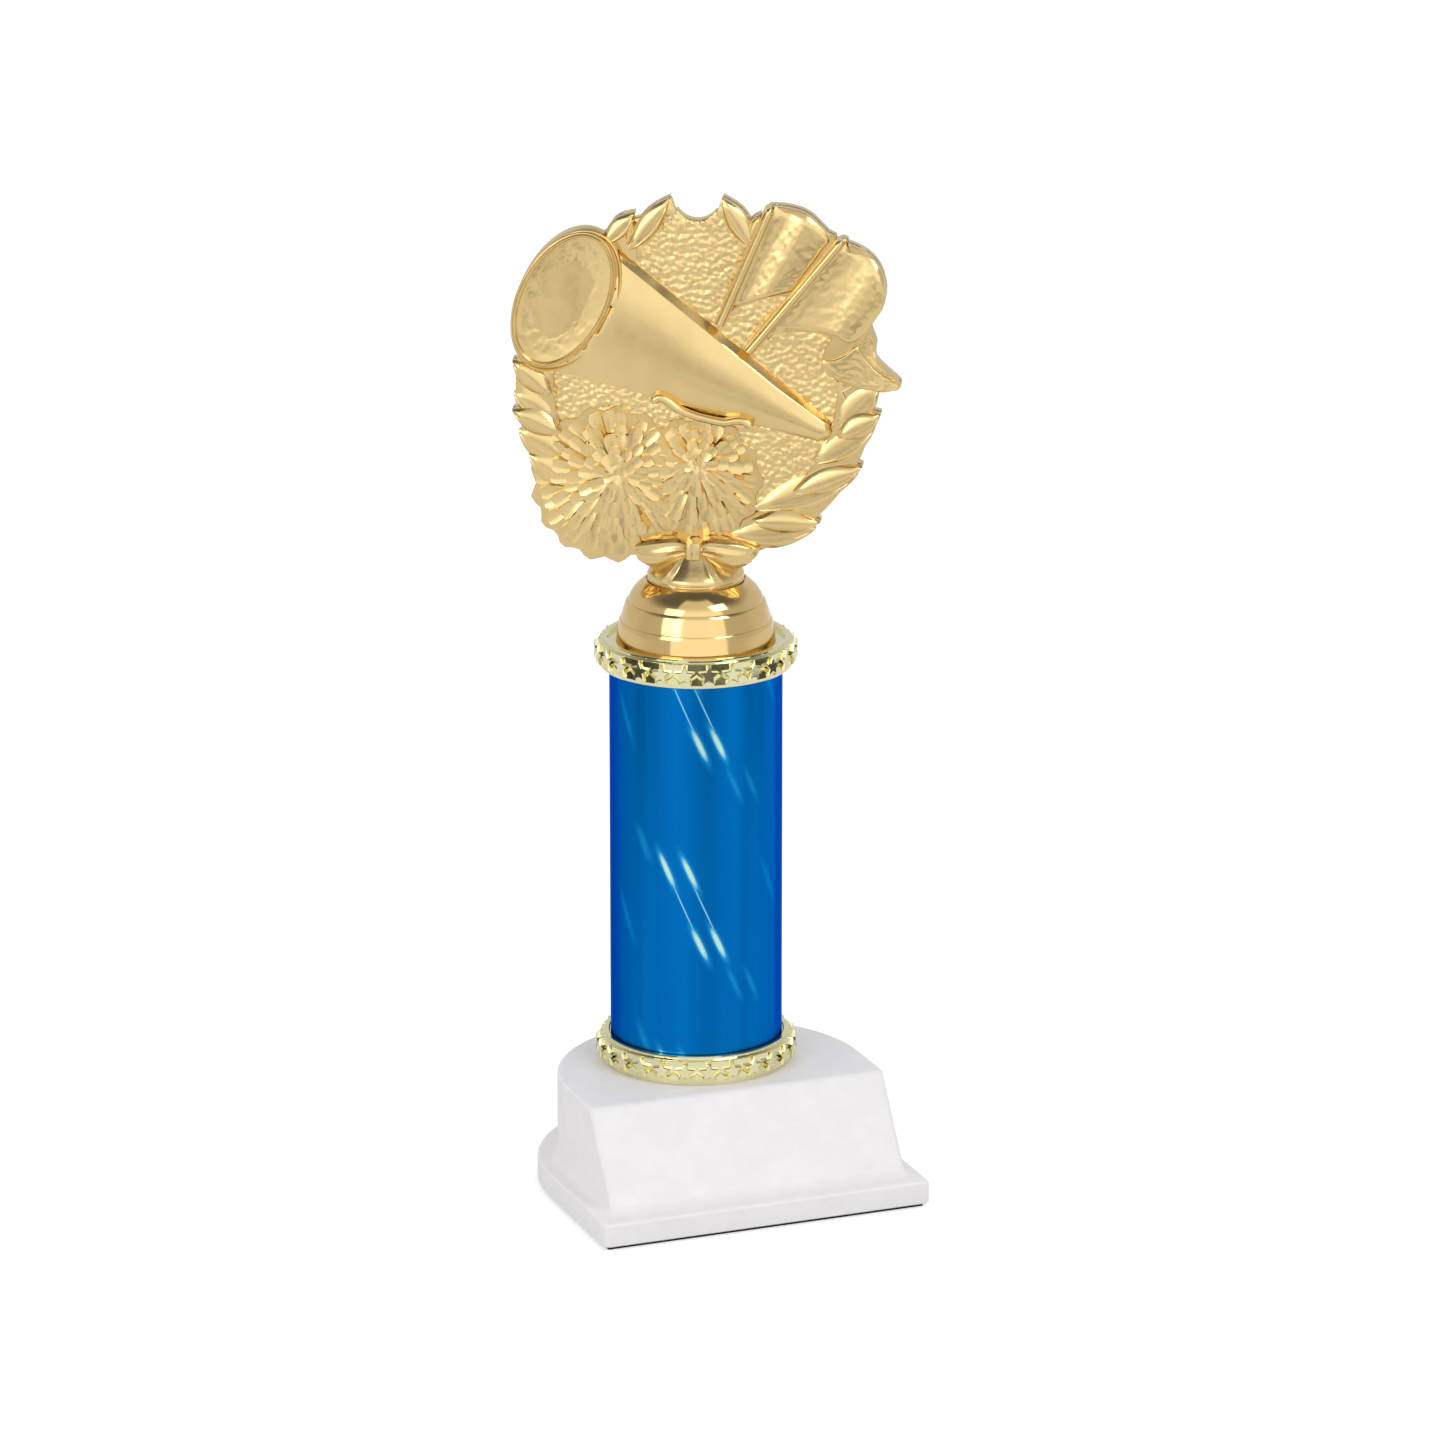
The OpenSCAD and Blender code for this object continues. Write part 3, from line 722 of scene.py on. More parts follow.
class AWARD_OT_column(bpy.types.Operator):
    """Model the film sleeve of the column with its open seam"""
    bl_idname = "award.column"
    bl_label = "Column sleeve"

    def execute(self, context):
        radius, wall, gap, seam = COLUMN_HIGH.x, 0.3, 0.6, math.radians(164)
        low, high = COLUMN_LOW.z, COLUMN_HIGH.z
        start = seam + gap / 2 / radius
        sleeve = begin("column_sleeve", bpy.ops.mesh.primitive_circle_add, vertices=4, fill_type="NGON")
        profile = [(radius - wall, low), (radius, low), (radius, high), (radius - wall, high)]
        for vertex, (r, z) in zip(sleeve.data.vertices, profile):
            vertex.co = (r * math.cos(start), r * math.sin(start), z)
        bpy.ops.object.mode_set(mode="EDIT")
        bpy.ops.mesh.select_all(action="SELECT")
        bpy.ops.mesh.spin(steps=240, angle=TURN - gap / radius, center=(0, 0, 0), axis=(0, 0, 1))
        seal(sleeve)
        settle(sleeve, "column", finish_named("film"), ["column_wrap"])
        return {"FINISHED"}


class AWARD_OT_riser(bpy.types.Operator):
    """Model the riser: three bands with rounded lips, hollow below and with a seat on top"""
    bl_idname = "award.riser"
    bl_label = "Riser"

    def execute(self, context):
        heights, radii, lifts = (0, 5.8, 10.8, 16.1), (20.5, 19.6, 17.7, 13.2), (0, 0.3, 0.75)
        outer = []
        for i in range(3):
            start = radii[i] - (0.4 if i else 0)
            rise = heights[i + 1] - heights[i]
            for k in range(13):
                t = k / 12
                r = start + (radii[i + 1] - start) * (t - lifts[i] * t * (1 - t))
                z = heights[i] + rise * t
                lip = 0.22 * max(0, (t - 0.86) / 0.14) ** 2 if i < 2 else 0
                outer.append((r - lip, z - (0 if t < 1 or i == 2 else 0.02)))
            if i < 2:
                outer.append((radii[i + 1] - 0.5, heights[i + 1] + 0.02))
        profile = [(17.7, 0), (20.3, 0), (20.5, 0.2)] + outer[1:] + [
            (12.75, 16.1), (12.7, 16.0), (12.7, 15.3), (2.815, 15.3), (2.815, 13.8), (11.7, 13.8),
            (11.7, 5.8), (17.7, 5.8)]
        riser = turned("riser_turning", profile, 240)
        settle(riser, "figure", finish_named("riser"), ["riser"], smooth=30,
               matrix=Matrix.Translation((0, 0, RISER_Z)))
        return {"FINISHED"}


class AWARD_OT_shells(bpy.types.Operator):
    """Model the figure's back shell with its neck, and its front shell with the pebbled ground"""
    bl_idname = "award.shells"
    bl_label = "Figure shells"

    def execute(self, context):
        size = sizes()
        stand = standing()
        outline = outlines_of("figure_back", -4.5)[0]
        rings = [at_depth(outline, -1.5)]
        for i in range(6):
            t = QUARTER * i / 5
            rings.append(at_depth(inset_outline(outline, 0.9 * (1 - math.cos(t))), -3.6 - 0.9 * math.sin(t)))
        back = loft("shell_back", rings)
        back.data.transform(stand)
        neck = turned("neck", [
            (5.7, 0), (12.1, 0), (12.4, 0.25), (12.4, 1.0), (12.05, 1.25), (12.0, 1.55), (12.35, 1.8),
            (12.4, 2.6), (12.1, 3.2), (11.3, 4.2), (9.9, 5.6), (8.4, 7.2), (7.0, 8.8), (5.9, 10.0),
            (5, 10.5), (3.2, 10.5), (2.815, 8.3), (2.815, 3.6), (5.7, 3.4)], 128)
        neck.data.transform(Matrix.Translation((0, 0, NECK_Z)))
        back = join("figure_back_shell", [back, neck])
        settle(back, "figure", finish_named("figure"), ["figure_back"], smooth=40)

        outline = outlines_of("figure_front", 0.5)[0]
        front = raised("figure_front_shell", outline, -1.5, 0.5, 0.2, steps=2)
        cell = size.ground_cell / MM * 1
        activate(front)
        bpy.ops.object.mode_set(mode="EDIT")
        reach = int(50 / cell)
        for axis in (Vector((1, 0, 0)), Vector((0, 1, 0))):
            for k in range(-reach, reach + 1):
                bpy.ops.mesh.select_all(action="SELECT")
                bpy.ops.mesh.bisect(plane_co=axis * k * cell, plane_no=axis)
        pebble, height = size.ground_pebble / MM, size.ground_height / MM
        work = bmesh.from_edit_mesh(front.data)
        work.normal_update()
        inner = [v for v in work.verts if v.co.z > 0.49 and all(f.normal.z > 0.99 for f in v.link_faces)]
        for vertex in inner:
            near = noise.voronoi(Vector((vertex.co.x / pebble, vertex.co.y / pebble, 0.5)))[0][0]
            vertex.co.z += height * max(0, 1 - (near / 0.75) ** 2)
        bmesh.update_edit_mesh(front.data)
        bpy.ops.object.mode_set(mode="OBJECT")
        settle(front, "figure", finish_named("ground"), ["figure_front"], smooth=50, matrix=stand)
        return {"FINISHED"}


# Leaves as (root, tip, half width, crown, depth)
LEFT_LEAVES = [
    ((-16.5, 35.6), (-6.4, 48.7), 2.7, 0.9, 2.9), ((-22.9, 37.0), (-15.3, 44.8), 2.4, 0.9, 2.9),
    ((-17.0, 36.8), (-15.7, 44.2), 0.9, 0.6, 2.9), ((-36.0, -8.5), (-46.2, -2.4), 3.6, 0.8, 2.2),
    ((-33.6, -19.0), (-45.0, -12.2), 4.0, 0.8, 2.2), ((-36.6, -2.4), (-46.3, 6.1), 3.1, 1.2, 3.1),
    ((-34.3, -12.4), (-46.5, -6.8), 3.2, 1.2, 3.1), ((-31.0, -26.0), (-42.5, -18.5), 3.6, 1.0, 2.6)]
RIGHT_LEAVES = [
    ((14.6, 36.8), (7.0, 48.9), 2.6, 0.9, 2.9), ((13.8, 38.4), (16.5, 44.9), 1.4, 0.7, 2.9),
    ((36.2, -9.0), (46.6, 1.6), 4.2, 0.9, 2.2), ((36.0, -0.5), (44.0, 9.5), 3.6, 0.9, 2.0),
    ((30.4, -19.0), (46.0, -9.0), 4.0, 0.8, 2.2), ((15.5, -31.6), (41.4, -22.2), 4.4, 0.8, 2.2),
    ((9.5, -38.6), (30.8, -36.6), 4.2, 0.8, 2.2), ((36.3, -12.0), (47.1, -6.1), 3.1, 1.2, 3.1),
    ((25.2, -26.8), (42.5, -19.9), 3.2, 1.2, 3.1), ((14.5, -34.6), (31.9, -34.7), 3.0, 1.2, 3.1)]


class AWARD_OT_wreath(bpy.types.Operator):
    """Model the two halves of the laurel wreath from single leaves on a low band"""
    bl_idname = "award.wreath"
    bl_label = "Wreath"

    def execute(self, context):
        for name, leaves in (("wreath_left", LEFT_LEAVES), ("wreath_right", RIGHT_LEAVES)):
            parts = [raised("bed", outline, -1.2, 2.0, 0.12, steps=1)
                     for outline in outlines_of(name, 3.0) if len(outline) > 8]
            parts += [leaf(*numbers) for numbers in leaves]
            side = -1 if leaves is LEFT_LEAVES else 1
            shoulder = [(0.4 + side * x, y) for x, y in ((6.4, 48.9), (5.9, 47.4), (5.5, 46.1), (4.9, 44.9),
                                                         (8.2, 43.6), (11.2, 44.6), (9.2, 46.9))]
            parts.append(raised("shoulder", shoulder, -1.2, 2.1, 0.2, steps=2))
            half = join(name + "_leaves", parts)
            settle(half, "figure", finish_named("figure"), [name], smooth=38, matrix=standing())
        return {"FINISHED"}


MOUTH = Vector((-33.1, 22.6))
MOUTH_AXES = (11.6, 19.0)
CONE_ANGLE = math.radians(-26.8)
CONE_LENGTH, CONE_END = 72.5, 3.2


class AWARD_OT_megaphone(bpy.types.Operator):
    """Model the megaphone: a flattened cone, a rimmed mouth with a dished face, and the handle"""
    bl_idname = "award.megaphone"
    bl_label = "Megaphone"

    def execute(self, context):
        lay = Matrix.Translation((*MOUTH, 0)) @ Matrix.Rotation(CONE_ANGLE, 4, "Z")

        def cone(u, v):
            x = u * (CONE_LENGTH + CONE_END)
            if x <= CONE_LENGTH:
                half = MOUTH_AXES[1] + (CONE_END - MOUTH_AXES[1]) * x / CONE_LENGTH
            else:
                half = max(0.6, math.sqrt(max(0, CONE_END ** 2 - (x - CONE_LENGTH) ** 2)))
            strip = min(1.9, half * 0.3)
            shoulder = 1 - strip / half
            crown = 4.8 - 1.0 * u
            s = -1 + (shoulder + 1) * min(1, v / 0.86)
            belly = abs(s + 0.12) / 1.12
            z = crown - (crown - 1.2) * 0.62 * belly ** 2.2
            if v > 0.86:
                t = (v - 0.86) / 0.14
                s += (1 - shoulder) * t
                z += (0.9 - z) * t
            if (x / (MOUTH_AXES[0] - 0.7)) ** 2 + (half * s / (MOUTH_AXES[1] - 0.7)) ** 2 < 1:
                z = min(z, 2.4)
            end = max(0, (x - CONE_LENGTH) / CONE_END)
            return lay @ Vector((x, half * s, z - 1.2 * end ** 2))

        body = sheet("cone", 64, 50, cone, -1.0)
        soften(body, 0.22, 2, 40)
        count = 120

        def ellipse(inset, depth, scale=1.0):
            return [lay @ Vector(((MOUTH_AXES[0] - inset) * scale * math.cos(TURN * i / count),
                                  (MOUTH_AXES[1] - inset) * scale * math.sin(TURN * i / count), depth))
                    for i in range(count)]

        rings = [ellipse(0, -1), ellipse(0, 4.1), ellipse(0.07, 4.4), ellipse(0.25, 4.62), ellipse(0.42, 4.66),
                 ellipse(0.52, 4.5), ellipse(0.6, 4.5), ellipse(0.68, 4.82), ellipse(0.85, 5.0),
                 ellipse(1.12, 5.0), ellipse(1.3, 4.84), ellipse(1.4, 4.3), ellipse(1.55, 4.05)]
        for k in range(1, 30):
            t = k / 30
            ring = ellipse(1.55, 4.05 - 0.7 * (1 - (1 - t) ** 2), 1 - t * 0.985)
            rings.append([(p.x, p.y, p.z + min(1, 8 * t) * (0.10 * noise.noise(Vector((p.x, p.y, 0)) / 2.4)
                           + 0.08 * noise.noise(Vector((p.x, p.y, 9)) / 0.9))) for p in ring])
        mouth = loft("mouth", rings)
        count_back = 9
        ridge = []
        for inset, depth in ((-0.75, -1), (-0.75, 3.9), (-0.6, 4.2), (-0.35, 4.3), (-0.1, 4.1), (0.2, 3.6)):
            ridge.append(ellipse(inset, depth))
        # The bead behind the rim shows only on the cone's side
        bead = loft("bead", [[Vector((p.x, p.y, p.z)) for p in ring] for ring in ridge])
        bead.data.transform(Matrix.Translation((0.75 * math.cos(CONE_ANGLE), 0.75 * math.sin(CONE_ANGLE), 0)))
        megaphone = join("megaphone_horn", [body, mouth, bead])
        settle(megaphone, "figure", finish_named("figure"), ["megaphone"], smooth=32,
               matrix=standing())
        path = [(-10.3, -3.6), (-9.6, -2.5), (-8.4, -2.3), (-6.5, -3.3), (-4, -5.2), (0, -6.8), (4, -7.8),
                (7.5, -8.4), (10, -8.0), (12, -7.9), (13.6, -8.6), (14.3, -9.6)]

        def rod(u, v):
            point = along(path, u)
            line = (along(path, min(1, u + 0.01)) - along(path, max(0, u - 0.01))).normalized()
            s = 2 * v - 1
            end = max(0, abs(2 * u - 1) - 0.93) / 0.07
            half = 1.05 * math.sqrt(max(0.06, 1 - end ** 2))
            point = point + Vector((-line.y, line.x)) * s * half
            return (point.x, point.y, 4.5 + math.sqrt(max(0, 1 - s * s)) * (1 - 0.6 * end ** 2))

        handle = sheet("handle_rod", 72, 12, rod, -1.0)
        settle(handle, "figure", finish_named("figure"), ["megaphone_handle"], smooth=40,
               matrix=standing())
        return {"FINISHED"}


POLES = {"pole_left": ((6.3, 16.7), (19.3, 47.1)), "pole_right": ((13.6, 9.9), (37.2, 39.0))}


class AWARD_OT_poles(bpy.types.Operator):
    """Model the two pennant poles: a rod with a flat hem strip each side and a rounded end"""
    bl_idname = "award.poles"
    bl_label = "Pennant poles"

    def execute(self, context):
        for name, (foot, top) in POLES.items():
            foot, top = Vector(foot), Vector(top)
            line = (top - foot)
            reach, line = line.length, line.normalized()
            side = Vector((-line.y, line.x))

            def place(u, v):
                s = 2 * v - 1
                run = reach * u
                end = max(0, (run - reach + 1.4) / 1.4)
                half = 1.4 * math.sqrt(max(0.02, 1 - end ** 2))
                bulge = 1.5 * math.sqrt(max(0, 1 - (s / 0.8) ** 2)) * (1 - 0.5 * end ** 2)
                point = foot + line * run + side * half * s
                return (point.x, point.y, 3.3 + bulge)

            pole = sheet(name + "_rod", 60, 22, place, -1.0)
            settle(pole, "figure", finish_named("figure"), [name], smooth=40, matrix=standing())
        return {"FINISHED"}


PENNANT_SHEETS = {
    "pennant_left": [
        ([(9.6, 20.6), (12, 21.9), (15, 23), (18, 24.0), (21, 24.6), (24.6, 25.2)],
         [(20.2, 47.1), (23, 46.8), (25.5, 46.3), (28, 45.2), (30.5, 43.4), (34.6, 39.4)], 3.75, 0.55, 0.3)],
    "pennant_right": [
        ([(19.8, 15.0), (26, 15.4), (33, 14.9), (36, 14.2), (38.6, 12.5), (41.4, 13.4), (44.4, 16.6)],
         [(37.5, 37.7), (40, 37.2), (43.2, 35.6), (46, 32.6), (47.8, 28.6), (48.0, 23.6), (45.4, 18.2)],
         3.75, 0.65, 0.4),
        ([(32.2, 6.6), (33.6, 4.5), (36.2, 2.8), (39.4, 1.4), (43, 0.4), (46.8, -0.1), (50, 0.3), (51.7, 1.1)],
         [(32.6, 8.2), (34.6, 8.0), (38, 9.4), (41, 12.0), (43.2, 8.7), (46, 5.4), (49.4, 3.2), (51.9, 1.9)],
         3.4, 0.35, 0.9),
        ([(41.2, 12.3), (43.4, 8.7), (46.2, 5.4), (50.2, 2.6)],
         [(44.5, 15.8), (45.7, 12), (46.2, 8.3), (51.6, 2.6)], 2.7, 0.15, 0.2)],
}


class AWARD_OT_pennants(bpy.types.Operator):
    """Model the two waving pennants as curved cloths with rolled edges"""
    bl_idname = "award.pennants"
    bl_label = "Pennants"

    def execute(self, context):
        for name, cloths in PENNANT_SHEETS.items():
            parts = [raised("backing", outline, -1.2, 2.4, 0.12, steps=1)
                     for outline in outlines_of(name, 3.8) if len(outline) > 8]
            for lower, upper, depth, wave, phase in cloths:
                def place(u, v):
                    v = min(1, max(0, v))
                    point = along(lower, u).lerp(along(upper, u), v)
                    fold = wave * math.cos(TURN * (u * 1.15 + phase) - v * 0.7)
                    roll = 0.9 * max(0, (v - 0.9) / 0.1) ** 2 + 0.5 * max(0, (0.05 - v) / 0.05) ** 2
                    sides = 0.5 * max(0, (u - 0.94) / 0.06) ** 2
                    peel = 0.09 * noise.noise(Vector((*point, 3)) / 1.1)
                    return (point.x, point.y, depth - wave + fold - roll - sides + peel)

                parts.append(sheet("cloth", 40, 40, place, -1.0))
            pennant = join(name + "_cloth", parts)
            settle(pennant, "figure", finish_named("figure"), [name], smooth=38,
                   matrix=standing())
        return {"FINISHED"}


# Pom-poms as (centre, where the strips spring from, radius, strips in each layer from the rim inwards)
POMPOMS = {
    "pompom_left": ((-21.5, -26.0), (-19.5, -22.5), 19.7, (27, 23, 19, 14, 9, 5)),
    "pompom_right": ((0.5, -24.5), (0.8, -19.5), 16.0, (21, 17, 14, 10, 6)),
}


class AWARD_OT_pompoms(bpy.types.Operator):
    """Model the two pom-poms from stepped layers of tinsel strips on a domed core"""
    bl_idname = "award.pompoms"
    bl_label = "Pom-poms"

    def execute(self, context):
        strip = tinsel_strip(1.0, 1.0)
        chance = random.Random(7)
        for name, (centre, spring, radius, layers) in POMPOMS.items():
            centre, spring = Vector(centre), Vector(spring)
            parts = [raised("core", outline, -1.2, 1.3, 0.12, steps=1)
                     for outline in outlines_of(name, 4.5) if len(outline) > 8]
            for level, count in enumerate(layers):
                part = level / len(layers)
                reach = radius * (1 - part) * 0.98
                half = math.pi * reach / count * 0.96
                for k in range(count):
                    angle = TURN * (k + 0.5 * (level % 2)) / count + chance.uniform(-0.07, 0.07)
                    reached = reach * chance.uniform(0.92, 1.0)
                    tip = centre.lerp(spring, part) + Vector((math.cos(angle), math.sin(angle))) * reached
                    line = tip - spring
                    run = min(line.length, 7.5)
                    start = tip - line.normalized() * run
                    height = 1.6 + 3.9 * math.sin(QUARTER * part * 1.1) + chance.uniform(0, 0.45)
                    place = (Matrix.Translation((start.x, start.y, height))
                             @ Matrix.Rotation(math.atan2(line.y, line.x) + chance.uniform(-0.14, 0.14), 4, "Z")
                             @ Matrix.Rotation(chance.uniform(-0.02, 0.05), 4, "Y")
                             @ Matrix.Rotation(chance.uniform(-0.14, 0.14), 4, "X")
                             @ Matrix.Diagonal((run, half * chance.uniform(0.72, 0.98), 1, 1)))
                    parts.append(copy_of(strip, place))
            ball = join(name + "_tinsel", parts)
            settle(ball, "figure", finish_named("figure"), [name], smooth=30, matrix=standing())
        discard(strip)
        return {"FINISHED"}


class AWARD_OT_bow(bpy.types.Operator):
    """Model the bow: two gathered lobes, a knot and two ribbon tails on the shoulder"""
    bl_idname = "award.bow"
    bl_label = "Bow"

    def execute(self, context):
        parts = []
        for side in (-1, 1):
            upper = [(0.4 * side, -40.0), (4.5 * side, -38.6), (10 * side, -39.2), (15.6 * side, -41.4)]
            lower = [(0.4 * side, -43.0), (4.8 * side, -44.4), (10.2 * side, -46.8), (14.6 * side, -45.2)]

            def lobe(u, v):
                point = along(lower, u).lerp(along(upper, u), v)
                s = 2 * v - 1
                swell = 1.6 * math.sin(math.pi * min(1, 0.12 + u * 0.8)) * (1 - abs(s) ** 2.5)
                pleat = 0.35 * math.cos(3 * math.pi * s) * (1 - u)
                rim = 0.5 * math.exp(-((s - 0.8) / 0.13) ** 2)
                return (point.x, point.y, 6.0 + swell + pleat + rim - 3.0 * u * u)

            def tail(u, v):
                point = Vector((0.6 * side, -41.8)).lerp(Vector((6.2 * side, -49.6)), u)
                across = Vector((0.8, 0.6 * side * side)) if side < 0 else Vector((0.8, -0.6))
                across = Vector((0.82, 0.57)) if side > 0 else Vector((0.82, -0.57))
                point = point + across * (v - 0.5) * (1.6 + 2.6 * u)
                return (point.x, point.y, 6.6 + 4.6 * ease(0, 0.9, u) + 0.25 * math.cos(TURN * v))

            parts += [sheet("lobe", 18, 14, lobe, -1.0),
                      sheet("tail", 12, 8, tail, lambda point: point.z - 3.0)]

        def knot(u, v):
            s, t = 2 * u - 1, 2 * v - 1
            return (2.3 * s, -41.5 + 2.1 * t, 6.2 + 2.2 * math.sqrt(max(0, 1 - 0.8 * s * s - 0.15 * t * t))
                    + 0.15 * math.cos(9 * s))

        parts.append(sheet("knot", 12, 8, knot, 2.0))
        bow = join("bow_ribbon", parts)
        settle(bow, "figure", finish_named("figure"), ["bow"], smooth=38, matrix=standing())
        return {"FINISHED"}


class AWARD_OT_hidden(bpy.types.Operator):
    """Give the parts inside the award their finishes"""
    bl_idname = "award.hidden"
    bl_label = "Inner parts"

    def execute(self, context):
        for node, key in (("column_core", "tube"), ("base_weight", "iron"), ("base_cover", "board"),
                          ("felt_pad", "felt"), ("figure_nut", "steel"), ("check_rod", "steel"),
                          ("washer", "steel"), ("lock_washer", "steel"), ("lower_nut", "steel")):
            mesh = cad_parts[node].data
            mesh.materials.clear()
            mesh.materials.append(finish_named(key))
        return {"FINISHED"}


# ---------------------------------------------------------------- stage

class AWARD_OT_stage(bpy.types.Operator):
    """Set up the floor, the soft studio light and the camera"""
    bl_idname = "award.stage"
    bl_label = "Stage"

    def execute(self, context):
        scene = context.scene
        scene.view_settings.view_transform = "Standard"
        self.make_world(scene)
        self.make_floor()
        self.make_cards()
        self.make_lamps()
        self.make_camera(scene)
        return {"FINISHED"}

    def make_world(self, scene):
        """A pale room: an even wash on dull surfaces, and a bright window in front with darker walls and
        ceiling in what shiny surfaces mirror."""
        world = bpy.data.worlds.new("studio")
        scene.world = world
        world.use_nodes = True
        nodes, links = world.node_tree.nodes, world.node_tree.links
        nodes.clear()
        out = nodes.new("ShaderNodeOutputWorld")
        place = nodes.new("ShaderNodeTexCoord").outputs["Generated"]

        def maths(operation, first, second=None, third=None):
            node = nodes.new("ShaderNodeMath")
            node.operation = operation
            for socket, value in zip(node.inputs, (first, second, third)):
                if isinstance(value, bpy.types.NodeSocket):
                    links.new(value, socket)
                elif value is not None:
                    socket.default_value = value
            return node.outputs["Value"]

        def step(value, low, high):
            node = nodes.new("ShaderNodeMapRange")
            node.interpolation_type = "SMOOTHSTEP"
            node.inputs["From Min"].default_value = low
            node.inputs["From Max"].default_value = high
            links.new(value, node.inputs["Value"])
            return node.outputs["Result"]

        def dot(direction):
            node = nodes.new("ShaderNodeVectorMath")
            node.operation = "DOT_PRODUCT"
            links.new(place, node.inputs[0])
            node.inputs[1].default_value = direction
            return node.outputs["Value"]

        turn = math.radians(21.5)
        front = dot((-math.sin(turn), -math.cos(turn), 0))
        right = dot((math.cos(turn), -math.sin(turn), 0))
        up = dot((0, 0, 1))
        sideways = maths("DIVIDE", right, maths("MAXIMUM", front, 0.001))
        window = maths("MULTIPLY", step(sideways, -0.77, -0.73), step(sideways, 1.09, 1.05))
        window = maths("MULTIPLY", window, step(front, 0.0, 0.05))
        window = maths("MULTIPLY", window, maths("MULTIPLY", step(up, -0.14, -0.1), step(up, 0.97, 0.92)))
        walls = maths("MULTIPLY_ADD", step(up, 0.35, 0.8), -0.55, 0.72)
        behind = maths("MULTIPLY", step(front, 0.1, -0.35), 0.12)
        mirrored = maths("ADD", maths("ADD", walls, behind), maths("MULTIPLY", window, 0.8))
        path = nodes.new("ShaderNodeLightPath")
        plain = nodes.new("ShaderNodeBackground")
        plain.inputs["Color"].default_value = (1, 1, 1, 1)
        plain.inputs["Strength"].default_value = 0.8
        shiny = nodes.new("ShaderNodeBackground")
        links.new(mirrored, shiny.inputs["Strength"])
        white = nodes.new("ShaderNodeBackground")
        white.inputs["Color"].default_value = (1, 1, 1, 1)
        white.inputs["Strength"].default_value = 1
        first = nodes.new("ShaderNodeMixShader")
        links.new(path.outputs["Is Glossy Ray"], first.inputs["Fac"])
        links.new(plain.outputs[0], first.inputs[1])
        links.new(shiny.outputs[0], first.inputs[2])
        second = nodes.new("ShaderNodeMixShader")
        links.new(maths("MAXIMUM", path.outputs["Is Camera Ray"], path.outputs["Is Transmission Ray"]),
                  second.inputs["Fac"])
        links.new(first.outputs[0], second.inputs[1])
        links.new(white.outputs[0], second.inputs[2])
        links.new(second.outputs[0], out.inputs["Surface"])

    def make_floor(self):
        """A wide pale floor that shows white and keeps the soft shadow."""
        floor = begin("floor", bpy.ops.mesh.primitive_circle_add, vertices=96, radius=3.0, fill_type="NGON")
        finish = Finish("pale_floor", roughness=0.9, specular_ior_level=0.0)
        finish.shader.inputs["Base Color"].default_value = (0.72, 0.72, 0.72, 1)
        finish.shader.inputs["Emission Color"].default_value = (1, 1, 1, 1)
        path = finish.nodes.new("ShaderNodeLightPath")
        seen = finish.sum("MAXIMUM", path.outputs["Is Camera Ray"], path.outputs["Is Transmission Ray"])
        finish.join(finish.sum("ADD", finish.sum("MULTIPLY", seen, 0.48),
                               finish.sum("MULTIPLY", path.outputs["Is Glossy Ray"], 0.13)),
                    finish.shader.inputs["Emission Strength"])
        floor.data.materials.append(finish.material)

    def make_cards(self):
        """Dark cards that only shiny surfaces mirror: they give the gilt its dark accents."""
        dark = Finish("dark_card", roughness=0.9, specular_ior_level=0.0)
        dark.base(dark.blend(dark.noise(3), (0.03, 0.028, 0.022), (0.06, 0.055, 0.045)))
        grey = Finish("grey_card", roughness=0.9, specular_ior_level=0.0)
        grey.base(grey.blend(grey.noise(3), (0.3, 0.27, 0.22), (0.38, 0.35, 0.3)))
        for name, card_finish, turn, near, far, width in (("card_front", dark, 10, 0.44, 0.53, 0.36),
                                                          ("card_left", dark, 89, 0.42, 0.53, 0.34),
                                                          ("card_right", dark, -63, 0.42, 0.53, 0.26),
                                                          ("card_far", grey, 30, 0.80, 1.15, 0.16)):
            card = begin(name, bpy.ops.mesh.primitive_plane_add, size=1)
            for vertex in card.data.vertices:
                vertex.co = (vertex.co.x * width, -(near + (vertex.co.y + 0.5) * (far - near)), 0.0006)
            card.data.transform(Matrix.Rotation(math.radians(-turn), 4, "Z"))
            card.data.materials.append(card_finish.material)
            card.visible_camera = card.visible_diffuse = card.visible_shadow = False
            card.visible_transmission = False

    def make_lamps(self):
        for name, place, width, power in (("key", (0.55, -1.15, 1.25), 0.7, 5.0),
                                          ("fill", (-1.2, -0.7, 0.7), 0.8, 3.5)):
            data = bpy.data.lights.new(name, "AREA")
            data.shape = "SQUARE"
            data.size = width
            data.energy = power
            lamp = bpy.data.objects.new(name, data)
            bpy.context.scene.collection.objects.link(lamp)
            lamp.location = place
            aim = Vector((0, 0, 0.12)) - Vector(place)
            lamp.rotation_euler = aim.to_track_quat("-Z", "Y").to_euler()

    def make_camera(self, scene):
        data = bpy.data.cameras.new("camera")
        data.sensor_width = 36
        data.lens = 184.5
        camera = bpy.data.objects.new("camera", data)
        scene.collection.objects.link(camera)
        turn, rise, distance = math.radians(21.47), math.radians(16.91), 1.9006
        back = Vector((-math.sin(turn) * math.cos(rise), -math.cos(turn) * math.cos(rise), math.sin(rise)))
        camera.location = Vector((0.006347, -0.002496, 0.12081)) + back * distance
        camera.rotation_euler = (-back).to_track_quat("-Z", "Y").to_euler()
        scene.camera = camera


# ---------------------------------------------------------------- add-on

PIECES = (AWARD_OT_base, AWARD_OT_rings, AWARD_OT_column, AWARD_OT_riser, AWARD_OT_shells, AWARD_OT_wreath,
          AWARD_OT_megaphone, AWARD_OT_poles, AWARD_OT_pennants, AWARD_OT_pompoms, AWARD_OT_bow,
          AWARD_OT_hidden, AWARD_OT_stage)


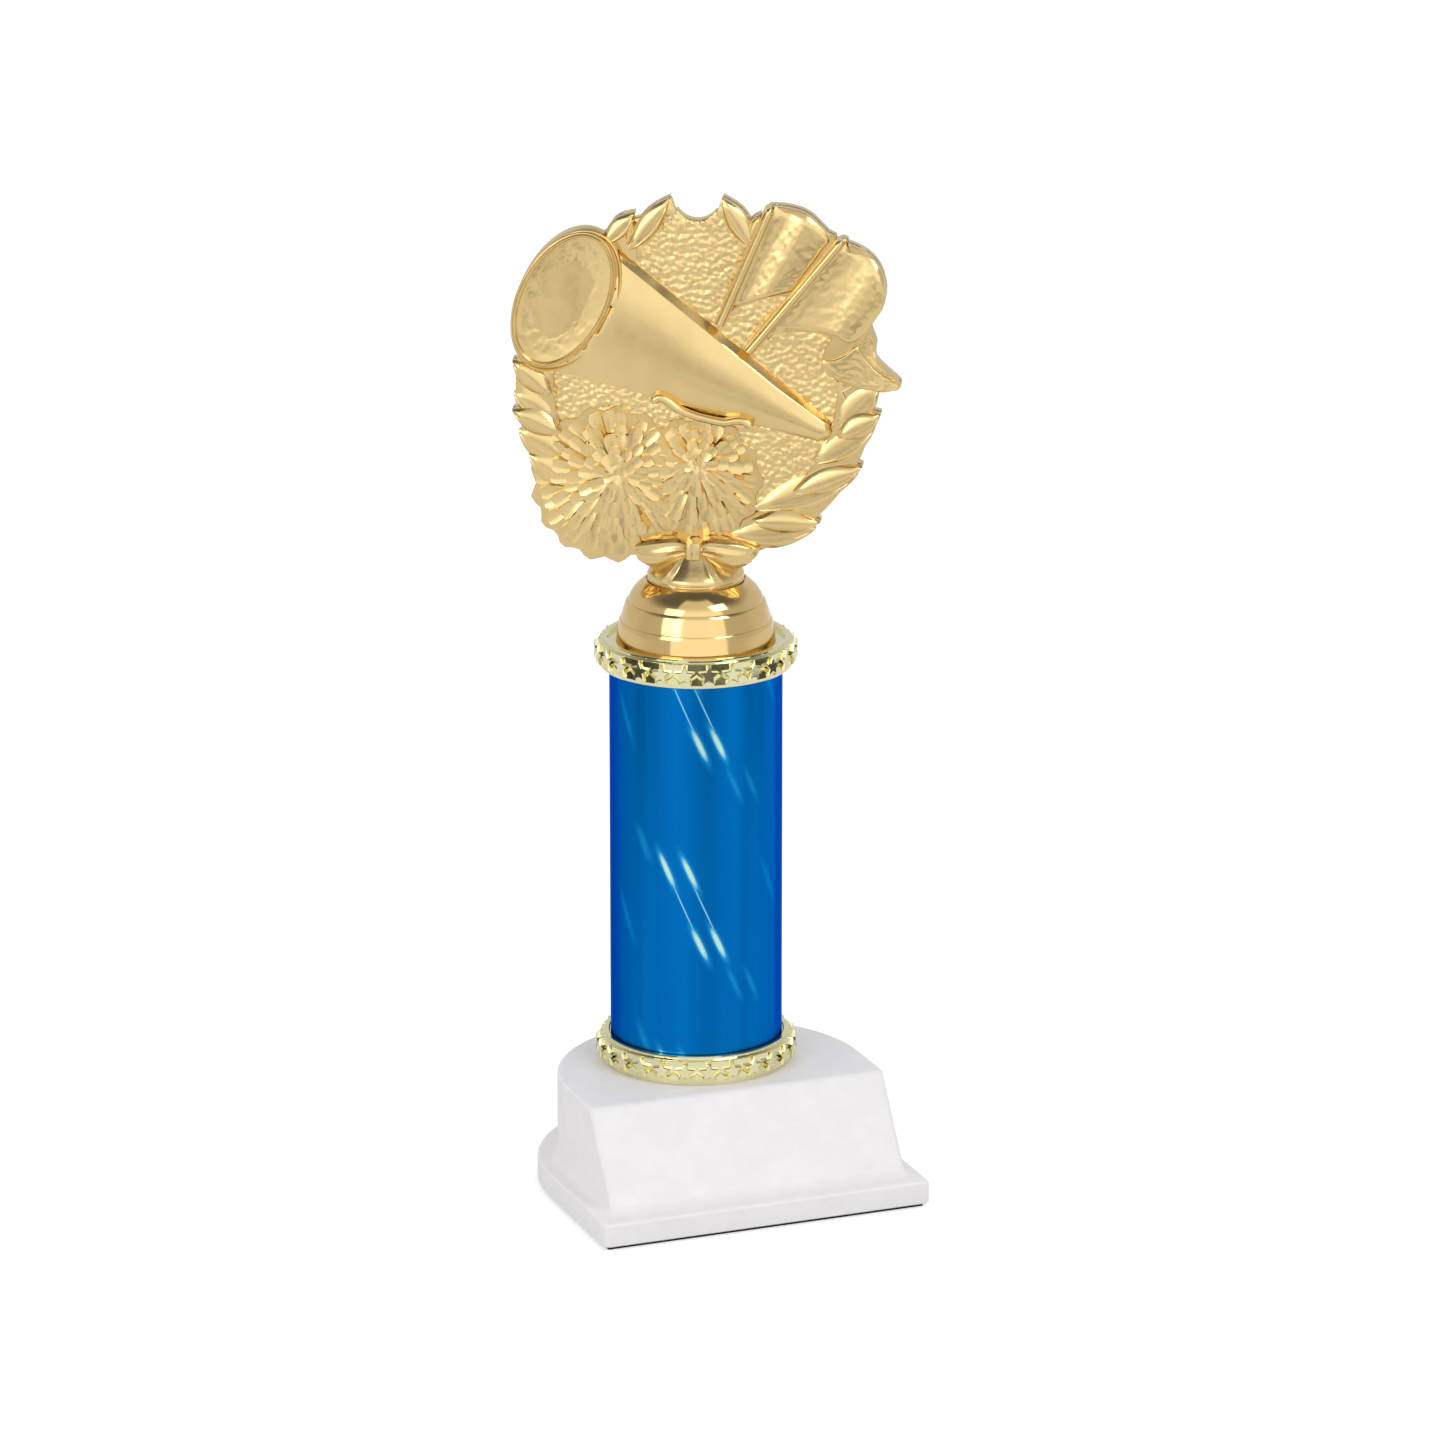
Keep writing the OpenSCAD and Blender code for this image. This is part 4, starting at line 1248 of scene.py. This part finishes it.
class AWARD_PT_panel(bpy.types.Panel):
    """Lists the award's settings and pieces"""
    bl_idname = "AWARD_PT_panel"
    bl_label = "Cheerleading award"
    bl_space_type = "VIEW_3D"
    bl_region_type = "UI"
    bl_category = "Award"

    def draw(self, context):
        for group in (context.scene.award_sizes, context.scene.award_colours):
            box = self.layout.box()
            for name in group.__annotations__:
                box.prop(group, name)
        for operator in PIECES:
            self.layout.operator(operator.bl_idname)


CLASSES = (AwardSizes, AwardColours, *PIECES, AWARD_PT_panel)


def register():
    for cls in CLASSES:
        bpy.utils.register_class(cls)
    bpy.types.Scene.award_sizes = bpy.props.PointerProperty(type=AwardSizes)
    bpy.types.Scene.award_colours = bpy.props.PointerProperty(type=AwardColours)


def unregister():
    del bpy.types.Scene.award_colours
    del bpy.types.Scene.award_sizes
    for cls in reversed(CLASSES):
        bpy.utils.unregister_class(cls)


def main():
    register()
    for operator in PIECES:
        group, name = operator.bl_idname.split(".")
        getattr(getattr(bpy.ops, group), name)()


if __name__ == "__main__":
    main()
